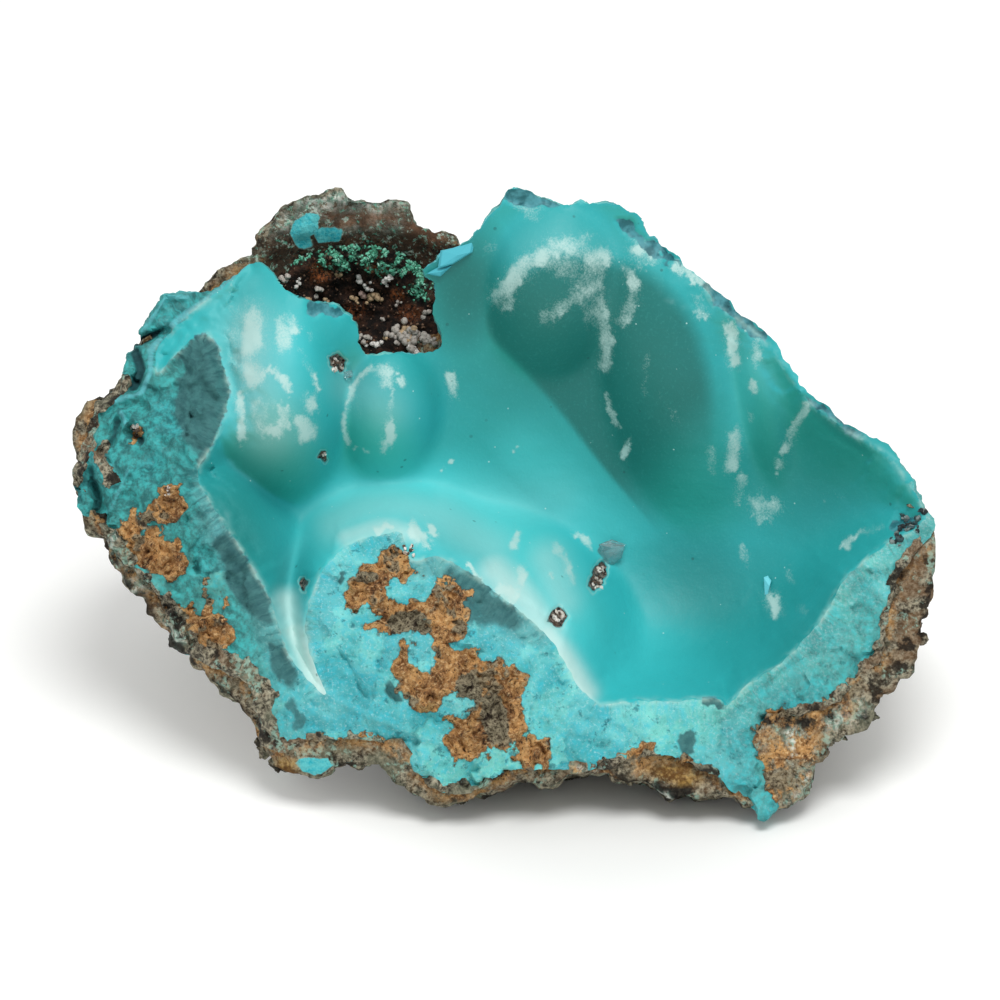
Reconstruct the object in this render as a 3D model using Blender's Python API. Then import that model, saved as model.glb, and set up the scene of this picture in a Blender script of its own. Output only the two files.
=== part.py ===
"""Rosasite specimen: a hollow lined with smooth blue-green rosasite, broken open, on its brown gossan matrix.

The specimen is modelled in its own bed, as if it lay on its back: X runs right, Y up the broken face and Z
out of it, in millimetres. The stand, an empty, then leans that bed back so that the stone rests on the flat
underside of its matrix. Each piece is a stone plate between a front and a back surface over one outline.
"""

import math

import bmesh
import bpy
import numpy as np
from mathutils import Vector, noise
from mathutils.geometry import delaunay_2d_cdt

MM = 0.001

# Driving dimensions, in millimetres and degrees.
FACE_LEAN = 30.0  # how far the broken face leans back from upright
BED_HEIGHT = 34.6  # the bed's origin above the floor
BED_SHIFT = (-0.35, -16.32)  # the bed's origin from the middle of the footprint, along X and Y
FIT_GAP = 0.4  # between the rosasite and the rock it grew on
CRUST_THICK = 31.0  # rosasite from the broken face to its back
CRUST_WALL = 3.2  # least thickness of rosasite behind the hollow
CRUST_UP = 5.0  # the rosasite's back keeps this far above the floor
MATRIX_THICK = 43.0  # whole stone from the broken face to the back of the rock
RIND_STEP = 0.5  # the brown rind lies this much below the broken rosasite
CRUST_GRAIN = 2.1  # spacing of the points of each surface
MATRIX_GRAIN = 3.3
DRUSE_GRAIN = 2.0

# Outline of the rosasite on the broken face: x, y, anticlockwise from its left end.
CRUST_OUTLINE = [
    (-49.4, 3.2), (-48.6, -1.0), (-46.2, -3.0), (-43.4, -7.2), (-39.4, -11.2), (-37.6, -16.6),
    (-34.4, -18.8), (-30.2, -20.2), (-28.2, -23.2), (-27.4, -28.2), (-24.6, -29.0), (-22.8, -27.9),
    (-14.6, -27.6), (-11.0, -29.6), (-8.4, -32.4), (-5.2, -34.0), (-1.6, -32.9), (1.2, -31.2),
    (6.0, -30.9), (12.4, -31.0), (15.6, -29.4), (20.2, -29.8), (24.4, -31.6), (26.6, -33.6),
    (28.6, -35.0), (30.4, -36.8), (31.9, -34.2), (31.0, -31.4), (29.4, -28.6), (30.8, -25.6),
    (34.2, -24.8), (37.6, -24.0), (41.2, -21.2), (43.9, -18.0), (44.6, -14.0), (45.6, -9.6),
    (47.4, -6.8), (49.4, -4.6), (49.9, -2.4), (48.0, 1.2), (46.0, 5.0), (44.6, 6.8),
    (41.0, 8.2), (36.6, 11.6), (34.4, 14.2), (31.6, 18.4), (28.4, 21.2), (24.8, 24.3),
    (21.0, 27.6), (17.2, 30.8), (15.8, 33.0), (11.8, 34.4), (8.0, 34.2), (4.8, 34.9),
    (1.8, 36.0), (-0.6, 33.6), (-3.2, 30.4), (-6.6, 28.4), (-8.6, 26.6), (-7.4, 24.6),
    (-7.6, 21.6), (-7.2, 17.6), (-11.4, 17.1), (-15.9, 17.2), (-16.6, 20.2), (-18.8, 22.4),
    (-23.2, 23.4), (-25.8, 25.4), (-28.0, 27.7), (-29.8, 26.6), (-33.2, 24.2), (-38.4, 23.9),
    (-40.8, 20.6), (-43.2, 16.4), (-44.0, 13.2), (-46.6, 11.2), (-48.0, 7.6),
]

# Outline of the rock behind it: the brown rind, and the knob that stands up behind the broken wall.
MATRIX_OUTLINE = [
    (-48.9, 4.8), (-48.4, -1.6), (-45.6, -5.2), (-43.0, -9.8), (-40.6, -13.0), (-37.0, -17.0),
    (-33.0, -20.6), (-29.6, -24.2), (-27.4, -28.4), (-25.4, -31.0), (-21.4, -32.0), (-18.4, -30.4),
    (-14.0, -30.6), (-9.4, -33.6), (-5.6, -35.0), (-1.4, -33.8), (2.4, -32.4), (8.0, -32.3),
    (12.6, -31.7), (16.8, -33.4), (19.8, -34.7), (22.4, -33.8), (27.6, -34.4), (31.4, -35.6),
    (34.4, -34.6), (35.4, -31.4), (38.6, -28.2), (42.4, -25.6), (43.4, -23.2), (46.6, -20.0),
    (48.6, -16.0), (49.2, -12.4), (49.8, -9.0), (50.3, -5.0), (47.8, -0.8), (44.0, 2.6),
    (38.6, 4.8), (33.0, 9.0), (28.6, 14.4), (22.6, 20.0), (16.6, 24.8), (11.4, 28.2),
    (5.6, 29.0), (0.8, 29.4), (-2.6, 27.6), (-5.2, 29.6), (-6.8, 31.2), (-9.8, 32.0),
    (-12.4, 34.4), (-16.4, 35.2), (-20.8, 35.8), (-24.0, 34.6), (-26.8, 31.8), (-28.8, 28.6),
    (-31.6, 27.6), (-34.0, 25.0), (-37.6, 22.4), (-41.0, 18.4), (-42.8, 15.8), (-45.0, 12.4),
    (-48.0, 11.6), (-49.6, 8.0),
]

# Where the smooth lining ends on the broken face: from the top left tip round to the right end, and back along
# the broken edge of the wall at the upper right. Over the top it runs out past the rosasite's own outline.
LINING_EDGE = [
    (-29.4, 27.0), (-31.9, 24.8), (-37.1, 20.5), (-39.7, 17.4), (-39.6, 14.8), (-37.6, 16.8),
    (-35.0, 19.0), (-33.2, 18.6), (-31.7, 14.5), (-31.4, 11.4), (-33.2, 6.4), (-34.9, 2.9),
    (-32.8, -1.2), (-28.9, -7.2), (-26.4, -11.8), (-24.2, -18.0), (-20.2, -22.3), (-21.7, -18.0),
    (-22.3, -13.6), (-20.6, -8.4), (-17.4, -5.2), (-13.3, -4.0), (-11.3, -3.9), (-10.2, -6.9),
    (-7.4, -6.5), (-4.2, -7.9), (0.2, -11.2), (3.2, -13.6), (5.9, -16.2), (8.9, -21.2),
    (11.4, -23.4), (15.6, -23.2), (20.0, -23.2), (24.9, -22.9), (26.2, -23.6), (28.6, -21.2),
    (32.2, -19.0), (36.0, -15.0), (38.0, -12.2), (40.0, -8.9), (43.9, -5.6), (48.8, -2.6),
    (48.7, -0.6), (46.9, 2.2), (44.9, 4.9), (41.6, 7.0), (36.4, 10.8), (33.0, 15.2),
    (30.4, 18.6), (27.6, 20.9), (24.4, 23.4), (24.0, 28.0),
]
LINING_OVER = [(24.0, 70.0), (-29.0, 70.0)]

# Depth of the broken face below the bed plane: x, y, z.
FACE_DEPTHS = [
    (-49.5, 2.9, -13.0), (-43.0, 16.9, -15.0), (-39.0, 23.6, -16.0), (-28.5, 27.5, -14.0),
    (-34.7, 3.5, -6.5), (-33.0, 16.0, -10.5), (-26.6, -11.6, -3.5), (-39.3, -11.6, -9.0),
    (-20.2, -22.2, -1.5), (-26.6, -28.9, -5.0), (-13.3, -4.0, -6.5), (-5.8, -17.3, 0.0),
    (2.0, -13.0, -3.0), (-5.8, -33.8, -2.0), (11.6, -23.4, -2.5), (11.6, -31.2, -1.5),
    (26.0, -23.6, -3.0), (30.3, -36.9, -2.0), (40.5, -22.0, -4.0), (38.7, -10.9, -4.5),
    (49.9, -3.5, -7.0), (45.9, 5.2, -9.0), (24.6, 24.7, -11.0), (1.8, 36.0, -13.0),
    (-7.3, 17.3, -20.0), (-16.0, 17.1, -19.0),
]

# The hollow: a dished floor, slopes and mounds that run down to it, and the rounded lobes that grew into it.
# A slope is x, y, z of a point on it and its gradients along x and y. A mound or a lobe is its centre x, y,
# half-widths along and across, turn in degrees, crest z at the centre, height and gradient up the face: a mound
# falls away as a paraboloid, a lobe as an ellipsoid's cap.
FLOOR = dict(centre=(14.5, -4.0), turn=-51.0, depth=-25.5, along=0.011, across=0.013, back=0.0015)
SLOPES = [
    (-7.0, 16.0, -17.5, -0.10, 0.38),  # the chute from the gap in the wall
    (17.0, 30.0, -12.5, 0.18, 0.50),  # the wall at the upper right
]
MOUNDS = [
    (-11.6, -16.0, 15.2, 16.8, 0.0, 6.0, 26.0, 0.0),  # the front lobe, whose face is broken off
    (-4.0, -20.0, 17.5, 16.6, 0.0, 2.6, 19.5, 0.0),  # its right flank, down to the floor
]
LOBES = [
    (-25.6, 10.8, 7.6, 11.0, -6.0, -5.4, 14.0, 0.42),  # the left lobe
    (-24.3, 20.5, 7.6, 7.6, 0.0, -7.5, 11.0, 0.25),  # its upper part, under the tip of the wall
    (-18.9, 20.0, 5.2, 5.6, 0.0, -12.5, 8.0, 0.0),  # its shoulder beside the gap in the wall
    (-13.0, 10.2, 5.8, 8.0, -5.0, -13.0, 8.5, 0.4),  # the small lobe between
    (-30.0, -4.6, 4.6, 9.0, 28.0, -9.0, 9.0, 0.2),  # the strip below the left lobe
    (6.2, 24.2, 8.2, 10.4, -10.0, -9.2, 11.0, 0.45),  # the great lobe at the top
    (21.4, 12.0, 9.4, 19.5, 16.0, -14.0, 11.0, 0.50),  # the part of it that hangs to the right
    (30.6, 12.0, 3.2, 11.5, 12.0, -14.0, 9.0, 0.48),  # the rib along its right side
]
LOBE_BLEND = 0.55  # sharpness of the valleys between the lobes, per millimetre
WALL_REACH = 2.2  # the lining reaches its full depth over a few times this distance from its edge
DEEP_END = dict(centre=(19.0, -20.0), half=(15.0, 9.0), reach=3.2)  # where it falls away more gently

# The knob's own hollow, lined with druse.
KNOB_HOLLOW = dict(centre=(-16.5, 22.0), half=(10.5, 8.5), rim=-20.5, depth=12.0)
DRUSE_OUTLINE = [
    (-26.4, 24.6), (-22.6, 20.6), (-18.0, 17.2), (-11.4, 16.6), (-7.8, 18.6), (-7.0, 22.4),
    (-8.6, 26.6), (-13.0, 29.2), (-18.6, 29.8), (-23.8, 28.2),
]
DRUSE_THICK = 1.0
DRUSE_GAP = 0.8  # between the druse and the rock under it


def blob_noise(x, y, size, seed):
    """Smooth noise from about -1 to 1 at points x, y, with lumps of the given size in millimetres."""
    return np.array([noise.noise(Vector((a / size, b / size, seed))) for a, b in zip(x, y)])


def ease(value, low, high):
    """0 below low, 1 above high and smooth between."""
    t = np.clip((value - low) / (high - low), 0, 1)
    return t * t * (3 - 2 * t)


def along(points, step, closed):
    """A smooth curve through the points, read at about an even step."""
    p = np.array(points, float)
    if closed:
        p = np.vstack([p[-1:], p, p[:2]])
    else:
        p = np.vstack([2 * p[:1] - p[1:2], p, 2 * p[-1:] - p[-2:-1]])
    out = []
    for a, b, c, d in zip(p, p[1:], p[2:], p[3:]):
        count = max(1, round(np.linalg.norm(c - b) / step))
        for t in np.arange(count) / count:
            out.append(0.5 * (2 * b + (c - a) * t + (2 * a - 5 * b + 4 * c - d) * t**2
                              + (3 * b - a - 3 * c + d) * t**3))
    if not closed:
        out.append(p[-2])
    return np.array(out)


def distance_to(x, y, line, closed):
    """Distance from each point to the nearest stretch of a line."""
    ends = np.roll(line, -1, axis=0) if closed else line[1:]
    starts = line if closed else line[:-1]
    nearest = np.full(len(x), np.inf)
    for (ax, ay), (bx, by) in zip(starts, ends):
        length = (bx - ax) ** 2 + (by - ay) ** 2
        t = np.clip(((x - ax) * (bx - ax) + (y - ay) * (by - ay)) / length, 0, 1)
        nearest = np.minimum(nearest, np.hypot(x - ax - t * (bx - ax), y - ay - t * (by - ay)))
    return nearest


def inside(x, y, loop):
    """Which points lie inside a closed loop."""
    hit = np.zeros(len(x), bool)
    for (ax, ay), (bx, by) in zip(loop, np.roll(loop, -1, axis=0)):
        if ay != by:
            crosses = (ay > y) != (by > y)
            hit ^= crosses & (x < (bx - ax) * (y - ay) / (by - ay) + ax)
    return hit


def soft_distance(x, y, line):
    """A distance from a line that stays smooth where two stretches of it are equally near."""
    pull = np.zeros(len(x))
    for (ax, ay), (bx, by) in zip(line, line[1:]):
        length = math.hypot(bx - ax, by - ay)
        t = np.clip(((x - ax) * (bx - ax) + (y - ay) * (by - ay)) / length**2, 0, 1)
        away = (x - ax - t * (bx - ax)) ** 2 + (y - ay - t * (by - ay)) ** 2
        pull += length / np.maximum(away, 1e-6) ** 2
    return (pull * 2 / math.pi) ** (-1 / 3)


def spline_sheet(readings):
    """The smoothest sheet through x, y, z readings, as a function of x and y."""
    p = np.array(readings, float)

    def bend(ax, ay, bx, by):
        r2 = (ax[:, None] - bx) ** 2 + (ay[:, None] - by) ** 2
        return 0.5 * r2 * np.log(r2 + 1e-9)

    n = len(p)
    flat = np.column_stack([np.ones(n), p[:, 0], p[:, 1]])
    system = np.zeros((n + 3, n + 3))
    system[:n, :n] = bend(p[:, 0], p[:, 1], p[:, 0], p[:, 1])
    system[:n, n:] = flat
    system[n:, :n] = flat.T
    weights = np.linalg.solve(system, np.append(p[:, 2], np.zeros(3)))

    def sheet(x, y):
        return bend(x, y, p[:, 0], p[:, 1]) @ weights[:n] + weights[n] + weights[n + 1] * x + weights[n + 2] * y

    return sheet


face_sheet = spline_sheet(FACE_DEPTHS)
crust_loop = along(CRUST_OUTLINE, CRUST_GRAIN, closed=True)
matrix_loop = along(MATRIX_OUTLINE, MATRIX_GRAIN * 0.8, closed=True)
lining_line = along(LINING_EDGE, CRUST_GRAIN * 0.7, closed=False)
lining_loop = np.vstack([lining_line, LINING_OVER])


def turned(x, y, centre, turn):
    """Offsets from a centre, along and across a direction."""
    c, s = math.cos(math.radians(turn)), math.sin(math.radians(turn))
    return (x - centre[0]) * c + (y - centre[1]) * s, (y - centre[1]) * c - (x - centre[0]) * s


def dome(x, y, lobe):
    """A rounded lobe: an ellipsoid's cap that runs on as a steep slope past its side."""
    cx, cy, along_half, across_half, turn, crest, height, rise = lobe
    u, v = turned(x, y, (cx, cy), turn)
    rho = np.hypot(u / along_half, v / across_half)
    cap = 0.9
    edge = math.sqrt(1 - cap * cap)
    profile = np.where(rho < cap, np.sqrt(1 - np.minimum(rho, cap) ** 2), edge - (rho - cap) * cap / edge)
    return crest + rise * (y - cy) - height * (1 - profile)


def lining_depth(x, y):
    """The hollow's smooth wall: its floor and its lobes, blended where they meet."""
    u, v = turned(x, y, FLOOR["centre"], FLOOR["turn"])
    rise = np.where(u > 0, FLOOR["along"], FLOOR["back"]) * u * u
    rise += np.where(v > 0, FLOOR["across"], FLOOR["back"]) * v * v
    total = np.exp(LOBE_BLEND * (FLOOR["depth"] + rise))
    for a, b, c, across, up in SLOPES:
        total += np.exp(LOBE_BLEND * (c + across * (x - a) + up * (y - b)))
    for cx, cy, along_half, across_half, turn, crest, height, rise in MOUNDS:
        u, v = turned(x, y, (cx, cy), turn)
        fall = height * ((u / along_half) ** 2 + (v / across_half) ** 2)
        total += np.exp(LOBE_BLEND * (crest + rise * (y - cy) - fall))
    for lobe in LOBES:
        total += np.exp(LOBE_BLEND * dome(x, y, lobe))
    return np.log(total) / LOBE_BLEND


def lined_share(x, y):
    """How far the lining has fallen from the broken face to its own depth: 0 at its edge, 1 well inside."""
    u, v = (x - DEEP_END["centre"][0]) / DEEP_END["half"][0], (y - DEEP_END["centre"][1]) / DEEP_END["half"][1]
    reach = WALL_REACH + (DEEP_END["reach"] - WALL_REACH) * np.exp(-u * u - v * v)
    wall = 1 - np.exp(-soft_distance(x, y, lining_line) / reach)
    return np.where(inside(x, y, lining_loop), wall, 0)


def broken_face(x, y):
    """The broken face: a gently warped sheet with the lumps and steps of a fracture."""
    return face_sheet(x, y) + 0.5 * blob_noise(x, y, 7.0, 3.0) + 0.25 * blob_noise(x, y, 3.0, 8.0)


def crust_front(x, y):
    """The rosasite as seen from the front: the broken face, and the hollow inside the lining's edge."""
    lined = lined_share(x, y)
    return broken_face(x, y) * (1 - lined) + lining_depth(x, y) * lined


def rounded_back(x, y, loop, thick, reach):
    """Depth of a back that drops from the outline like a rounded side and then runs level."""
    part = np.clip(1 - distance_to(x, y, loop, closed=True) / reach, 0, 1)
    return -thick * np.sqrt(1 - part * part)


def level_at(height, y):
    """The z in the bed of a plane this far above the floor."""
    lean = math.radians(FACE_LEAN)
    return (height - BED_HEIGHT - math.cos(lean) * y) / math.sin(lean)


def crust_back(x, y):
    back = rounded_back(x, y, crust_loop, CRUST_THICK, 12.0)
    back = np.maximum(back, level_at(CRUST_UP, y))
    return np.minimum(back, crust_front(x, y) - CRUST_WALL)


def knob_front(x, y):
    u = (x - KNOB_HOLLOW["centre"][0]) / KNOB_HOLLOW["half"][0]
    v = (y - KNOB_HOLLOW["centre"][1]) / KNOB_HOLLOW["half"][1]
    hollow = np.exp(-u * u - v * v)
    lumps = 0.8 * blob_noise(x, y, 4.0, 21.0) * (1 - hollow) ** 2
    return KNOB_HOLLOW["rim"] - KNOB_HOLLOW["depth"] * hollow + lumps


def matrix_front(x, y):
    """The rock's front: a rind level with the broken face, and the knob set back behind the wall."""
    knob = ease(y, 11.0, 15.0) * ease(-x, -3.0, 3.0) * ease(x, -38.0, -33.0)
    rind = face_sheet(x, y) - RIND_STEP + 0.6 * blob_noise(x, y, 4.0, 13.0)
    return rind * (1 - knob) + knob_front(x, y) * knob


def matrix_back(x, y):
    lumps = 2.6 * blob_noise(x, y, 17.0, 31.0) + 1.1 * blob_noise(x, y, 7.0, 37.0)
    part = rounded_back(x, y, matrix_loop, 1.0, 13.0)
    back = (MATRIX_THICK + lumps) * part
    return np.minimum(back, matrix_front(x, y) - 2.0)


def druse_back(x, y):
    return matrix_front(x, y) + DRUSE_GAP


def druse_front(x, y):
    edge = ease(distance_to(x, y, druse_loop, closed=True), 0.0, 2.0)
    return druse_back(x, y) + DRUSE_THICK * (0.5 + 0.7 * edge + 0.4 * edge * blob_noise(x, y, 1.7, 43.0))


druse_loop = along(DRUSE_OUTLINE, DRUSE_GRAIN, closed=True)


def lattice(loop, grain, keep_off):
    """Points of a triangular lattice inside a loop, clear of the given lines."""
    low, high = loop.min(0), loop.max(0)
    rows = np.arange(low[1], high[1], grain * math.sqrt(0.75))
    x, y = [], []
    for i, level in enumerate(rows):
        across = np.arange(low[0] + grain * 0.5 * (i % 2), high[0], grain)
        x.append(across)
        y.append(np.full(len(across), level))
    x, y = np.concatenate(x), np.concatenate(y)
    keep = inside(x, y, loop)
    for line, closed in keep_off:
        keep &= distance_to(x, y, line, closed) > grain * 0.55
    return np.column_stack([x[keep], y[keep]])


def plate(name, loop, grain, front, back, break_line=None):
    """A closed stone plate: the same triangles for its front and its back, joined by a wall round the outline."""
    lines = [(loop, True)] + ([(break_line, False)] if break_line is not None else [])
    field = lattice(loop, grain, lines)
    points = [loop] + ([break_line] if break_line is not None else []) + [field]
    edges = []
    if break_line is not None:
        edges = [(len(loop) + i, len(loop) + i + 1) for i in range(len(break_line) - 1)]
    flat = [Vector(p) for p in np.vstack(points)]
    flat, _, faces, _, _, _ = delaunay_2d_cdt(flat, edges, [list(range(len(loop)))], 1, 1e-4)
    x, y = np.array([p.x for p in flat]), np.array([p.y for p in flat])
    top, bottom = front(x, y), back(x, y)

    bm = bmesh.new()
    tops = [bm.verts.new((a * MM, b * MM, c * MM)) for a, b, c in zip(x, y, top)]
    bottoms = [bm.verts.new((a * MM, b * MM, c * MM)) for a, b, c in zip(x, y, bottom)]
    for face in faces:
        bm.faces.new([tops[i] for i in face])
        bm.faces.new([bottoms[i] for i in reversed(face)])
    matching = {t: b for t, b in zip(tops, bottoms)}
    for edge in [e for e in bm.edges if e.is_boundary and e.verts[0] in matching and e.verts[1] in matching]:
        loop_start = edge.link_loops[0].vert
        other = edge.other_vert(loop_start)
        bm.faces.new([other, loop_start, matching[loop_start], matching[other]])
    bmesh.ops.recalc_face_normals(bm, faces=bm.faces)
    bmesh.ops.triangulate(bm, faces=bm.faces)
    mesh = bpy.data.meshes.new(name)
    bm.to_mesh(mesh)
    bm.free()
    mesh.shade_smooth()
    mesh.set_sharp_from_angle(angle=math.radians(50))
    made = bpy.data.objects.new(name, mesh)
    bpy.context.scene.collection.objects.link(made)
    return made


def material(name, colour, roughness):
    made = bpy.data.materials.new(name)
    made.use_nodes = True
    shader = made.node_tree.nodes["Principled BSDF"]
    shader.inputs["Base Color"].default_value = (*colour, 1)
    shader.inputs["Roughness"].default_value = roughness
    shader.inputs["Metallic"].default_value = 0
    return made


def make_crust():
    made = plate("rosasite_crust", crust_loop, CRUST_GRAIN, crust_front, crust_back, lining_line)
    made.data.materials.append(material("rosasite", (0.035, 0.38, 0.38), 0.45))
    return made


def make_bed_cutter(crust):
    """The room that the rosasite takes in the rock: its back and sides with the fit gap, open at the front."""
    mesh = crust.data.copy()
    fronts = len(mesh.vertices) // 2
    normals = [v.normal.copy() for v in mesh.vertices]
    sides = [e.vertices for e in mesh.edges if (e.vertices[0] < fronts) != (e.vertices[1] < fronts)]
    rim = {i for pair in sides for i in pair if i < fronts}
    for i, vertex in enumerate(mesh.vertices):
        if i >= fronts:
            vertex.co += normals[i] * FIT_GAP * 1.3 * MM
        else:
            if i in rim:
                side = Vector((normals[i].x, normals[i].y, 0)).normalized()
                vertex.co += side * FIT_GAP * MM
            vertex.co.z = 12 * MM
    cutter = bpy.data.objects.new("crust_bed", mesh)
    bpy.context.scene.collection.objects.link(cutter)
    cutter.hide_render = True
    cutter.display_type = "WIRE"
    return cutter


def make_matrix(cutter, stand):
    """The rock, with the bed of the rosasite cut out and its underside cut flat where it rests."""
    made = plate("gossan_matrix", matrix_loop, MATRIX_GRAIN, matrix_front, matrix_back)
    made.data.materials.append(material("gossan", (0.16, 0.075, 0.03), 0.9))
    cut = made.modifiers.new("bed", "BOOLEAN")
    cut.operation = "DIFFERENCE"
    cut.solver = "EXACT"
    cut.object = cutter
    bpy.context.view_layer.update()
    graph = bpy.context.evaluated_depsgraph_get()
    bedded = bpy.data.meshes.new_from_object(made.evaluated_get(graph))
    made.modifiers.clear()
    made.data = bedded
    to_bed = stand.matrix_world.inverted()
    bm = bmesh.new()
    bm.from_mesh(bedded)
    cut = bmesh.ops.bisect_plane(
        bm, geom=bm.verts[:] + bm.edges[:] + bm.faces[:], dist=1e-7,
        plane_co=to_bed @ Vector((0, 0, 0)), plane_no=to_bed.to_3x3() @ Vector((0, 0, 1)), clear_inner=True)
    rim = [e for e in cut["geom_cut"] if isinstance(e, bmesh.types.BMEdge)]
    bmesh.ops.triangle_fill(bm, edges=rim, use_beauty=True)
    bmesh.ops.triangulate(bm, faces=bm.faces)
    bmesh.ops.recalc_face_normals(bm, faces=bm.faces)
    bm.to_mesh(bedded)
    bm.free()
    return made


def make_druse():
    made = plate("druse_crust", druse_loop, DRUSE_GRAIN, druse_front, druse_back)
    made.data.materials.append(material("druse", (0.10, 0.11, 0.08), 0.7))
    return made


def make_stand():
    """The empty that leans the bed back and sets it on the floor."""
    stand = bpy.data.objects.new("stand", None)
    bpy.context.scene.collection.objects.link(stand)
    stand.rotation_euler.x = math.radians(90 - FACE_LEAN)
    stand.location = (BED_SHIFT[0] * MM, BED_SHIFT[1] * MM, BED_HEIGHT * MM)
    bpy.context.view_layer.update()
    return stand


for old in list(bpy.data.objects):
    bpy.data.objects.remove(old, do_unlink=True)

stand = make_stand()
crust = make_crust()
bed = make_bed_cutter(crust)
matrix = make_matrix(bed, stand)
druse = make_druse()
for piece in (crust, matrix, druse, bed):
    piece.parent = stand
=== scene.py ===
"""Rosasite specimen: the looks of a broken hollow lined with blue-green rosasite, on its gossan matrix."""

import math
import random

import bmesh
import bpy
import numpy as np
from mathutils import Euler, Matrix, Vector, noise
from mathutils.geometry import delaunay_2d_cdt


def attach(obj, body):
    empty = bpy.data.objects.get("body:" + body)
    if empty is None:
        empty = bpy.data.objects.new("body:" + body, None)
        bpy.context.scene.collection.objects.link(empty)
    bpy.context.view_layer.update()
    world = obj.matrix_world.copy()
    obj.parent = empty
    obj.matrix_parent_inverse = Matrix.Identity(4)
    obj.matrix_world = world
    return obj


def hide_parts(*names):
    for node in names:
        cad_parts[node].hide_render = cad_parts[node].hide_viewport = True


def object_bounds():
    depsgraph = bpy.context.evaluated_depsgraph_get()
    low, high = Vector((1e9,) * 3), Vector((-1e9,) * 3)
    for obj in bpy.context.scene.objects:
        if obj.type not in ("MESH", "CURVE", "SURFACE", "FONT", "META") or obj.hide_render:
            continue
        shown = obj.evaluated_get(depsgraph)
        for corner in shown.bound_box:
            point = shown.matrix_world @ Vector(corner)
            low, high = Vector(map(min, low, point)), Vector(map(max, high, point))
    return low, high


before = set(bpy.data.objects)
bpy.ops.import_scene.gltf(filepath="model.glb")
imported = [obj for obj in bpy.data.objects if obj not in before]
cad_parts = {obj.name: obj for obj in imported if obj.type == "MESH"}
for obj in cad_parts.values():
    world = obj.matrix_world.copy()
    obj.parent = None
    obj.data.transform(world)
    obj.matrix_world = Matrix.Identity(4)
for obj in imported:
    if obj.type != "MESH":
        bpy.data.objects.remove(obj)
cad_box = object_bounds()
bpy.ops.object.select_all(action="DESELECT")


# The rosasite crust: fibrous blue-green rosasite, broken across, with the smooth lobed lining of a hollow.
# One closed stone with a finely meshed front, a broken wall and a rough back, grown on the gossan behind it.
# It is drawn in the specimen's bed, in millimetres (x right, y up the broken face, z out), then stood up.
FACE_LEAN = 30.0  # degrees that the broken face leans back
BED_HEIGHT = 34.6  # of the bed's origin above the floor
BED_SHIFT = (-0.35, -16.32)
BED_ORIGIN = [v / 1000 for v in (*BED_SHIFT, BED_HEIGHT)]
CRUST_THICK = 31.0
CRUST_WALL = 3.2  # the least thickness behind the front
CRUST_UP = 5.0  # the back stays this high above the floor
CRUST_ROUND = 12.0  # how far in from the outline the back goes on curving away
FRONT_GRAIN = 0.36  # the sizes of the triangles
BACK_GRAIN = 1.6
WALL_GRAIN = 0.8
HIDDEN_FROM = 5.0  # the back is out of sight, and stays coarse, this far in from the outline
LINED_BEYOND = (23.0, 2.0)  # right of and above here the lining runs out to the stone's own edge
SHARP_ANGLE = 65.0

CRUST_OUTLINE = [
    (-49.4, 3.2), (-48.6, -1.0), (-46.2, -3.0), (-43.4, -7.2), (-39.4, -11.2), (-37.6, -16.6),
    (-34.4, -18.8), (-30.2, -20.2), (-28.2, -23.2), (-27.4, -28.2), (-24.6, -29.0), (-22.8, -27.9),
    (-14.6, -27.6), (-11.0, -29.6), (-8.4, -32.4), (-5.2, -34.0), (-1.6, -32.9), (1.2, -31.2),
    (6.0, -30.9), (12.4, -31.0), (15.6, -29.4), (20.2, -29.8), (24.4, -31.6), (26.6, -33.6),
    (28.6, -35.0), (30.4, -36.8), (31.9, -34.2), (31.0, -31.4), (29.4, -28.6), (30.8, -25.6),
    (34.2, -24.8), (37.6, -24.0), (41.2, -21.2), (43.9, -18.0), (44.6, -14.0), (45.6, -9.6),
    (47.4, -6.8), (49.4, -4.6), (49.9, -2.4), (48.0, 1.2), (46.0, 5.0), (44.6, 6.8),
    (41.0, 8.2), (36.6, 11.6), (34.4, 14.2), (31.6, 18.4), (28.4, 21.2), (24.8, 24.3),
    (21.0, 27.6), (17.2, 30.8), (15.8, 33.0), (11.8, 34.4), (8.0, 34.2), (4.8, 34.9),
    (1.8, 36.0), (-0.6, 33.6), (-3.2, 30.4), (-6.6, 28.4), (-8.6, 26.6), (-7.4, 24.6),
    (-7.6, 21.6), (-7.2, 17.6), (-11.4, 17.1), (-15.9, 17.2), (-16.6, 20.2), (-18.8, 22.4),
    (-23.2, 23.4), (-25.8, 25.4), (-28.0, 27.7), (-29.8, 26.6), (-33.2, 24.2), (-38.4, 23.9),
    (-40.8, 20.6), (-43.2, 16.4), (-44.0, 13.2), (-46.6, 11.2), (-48.0, 7.6),
]
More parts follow.
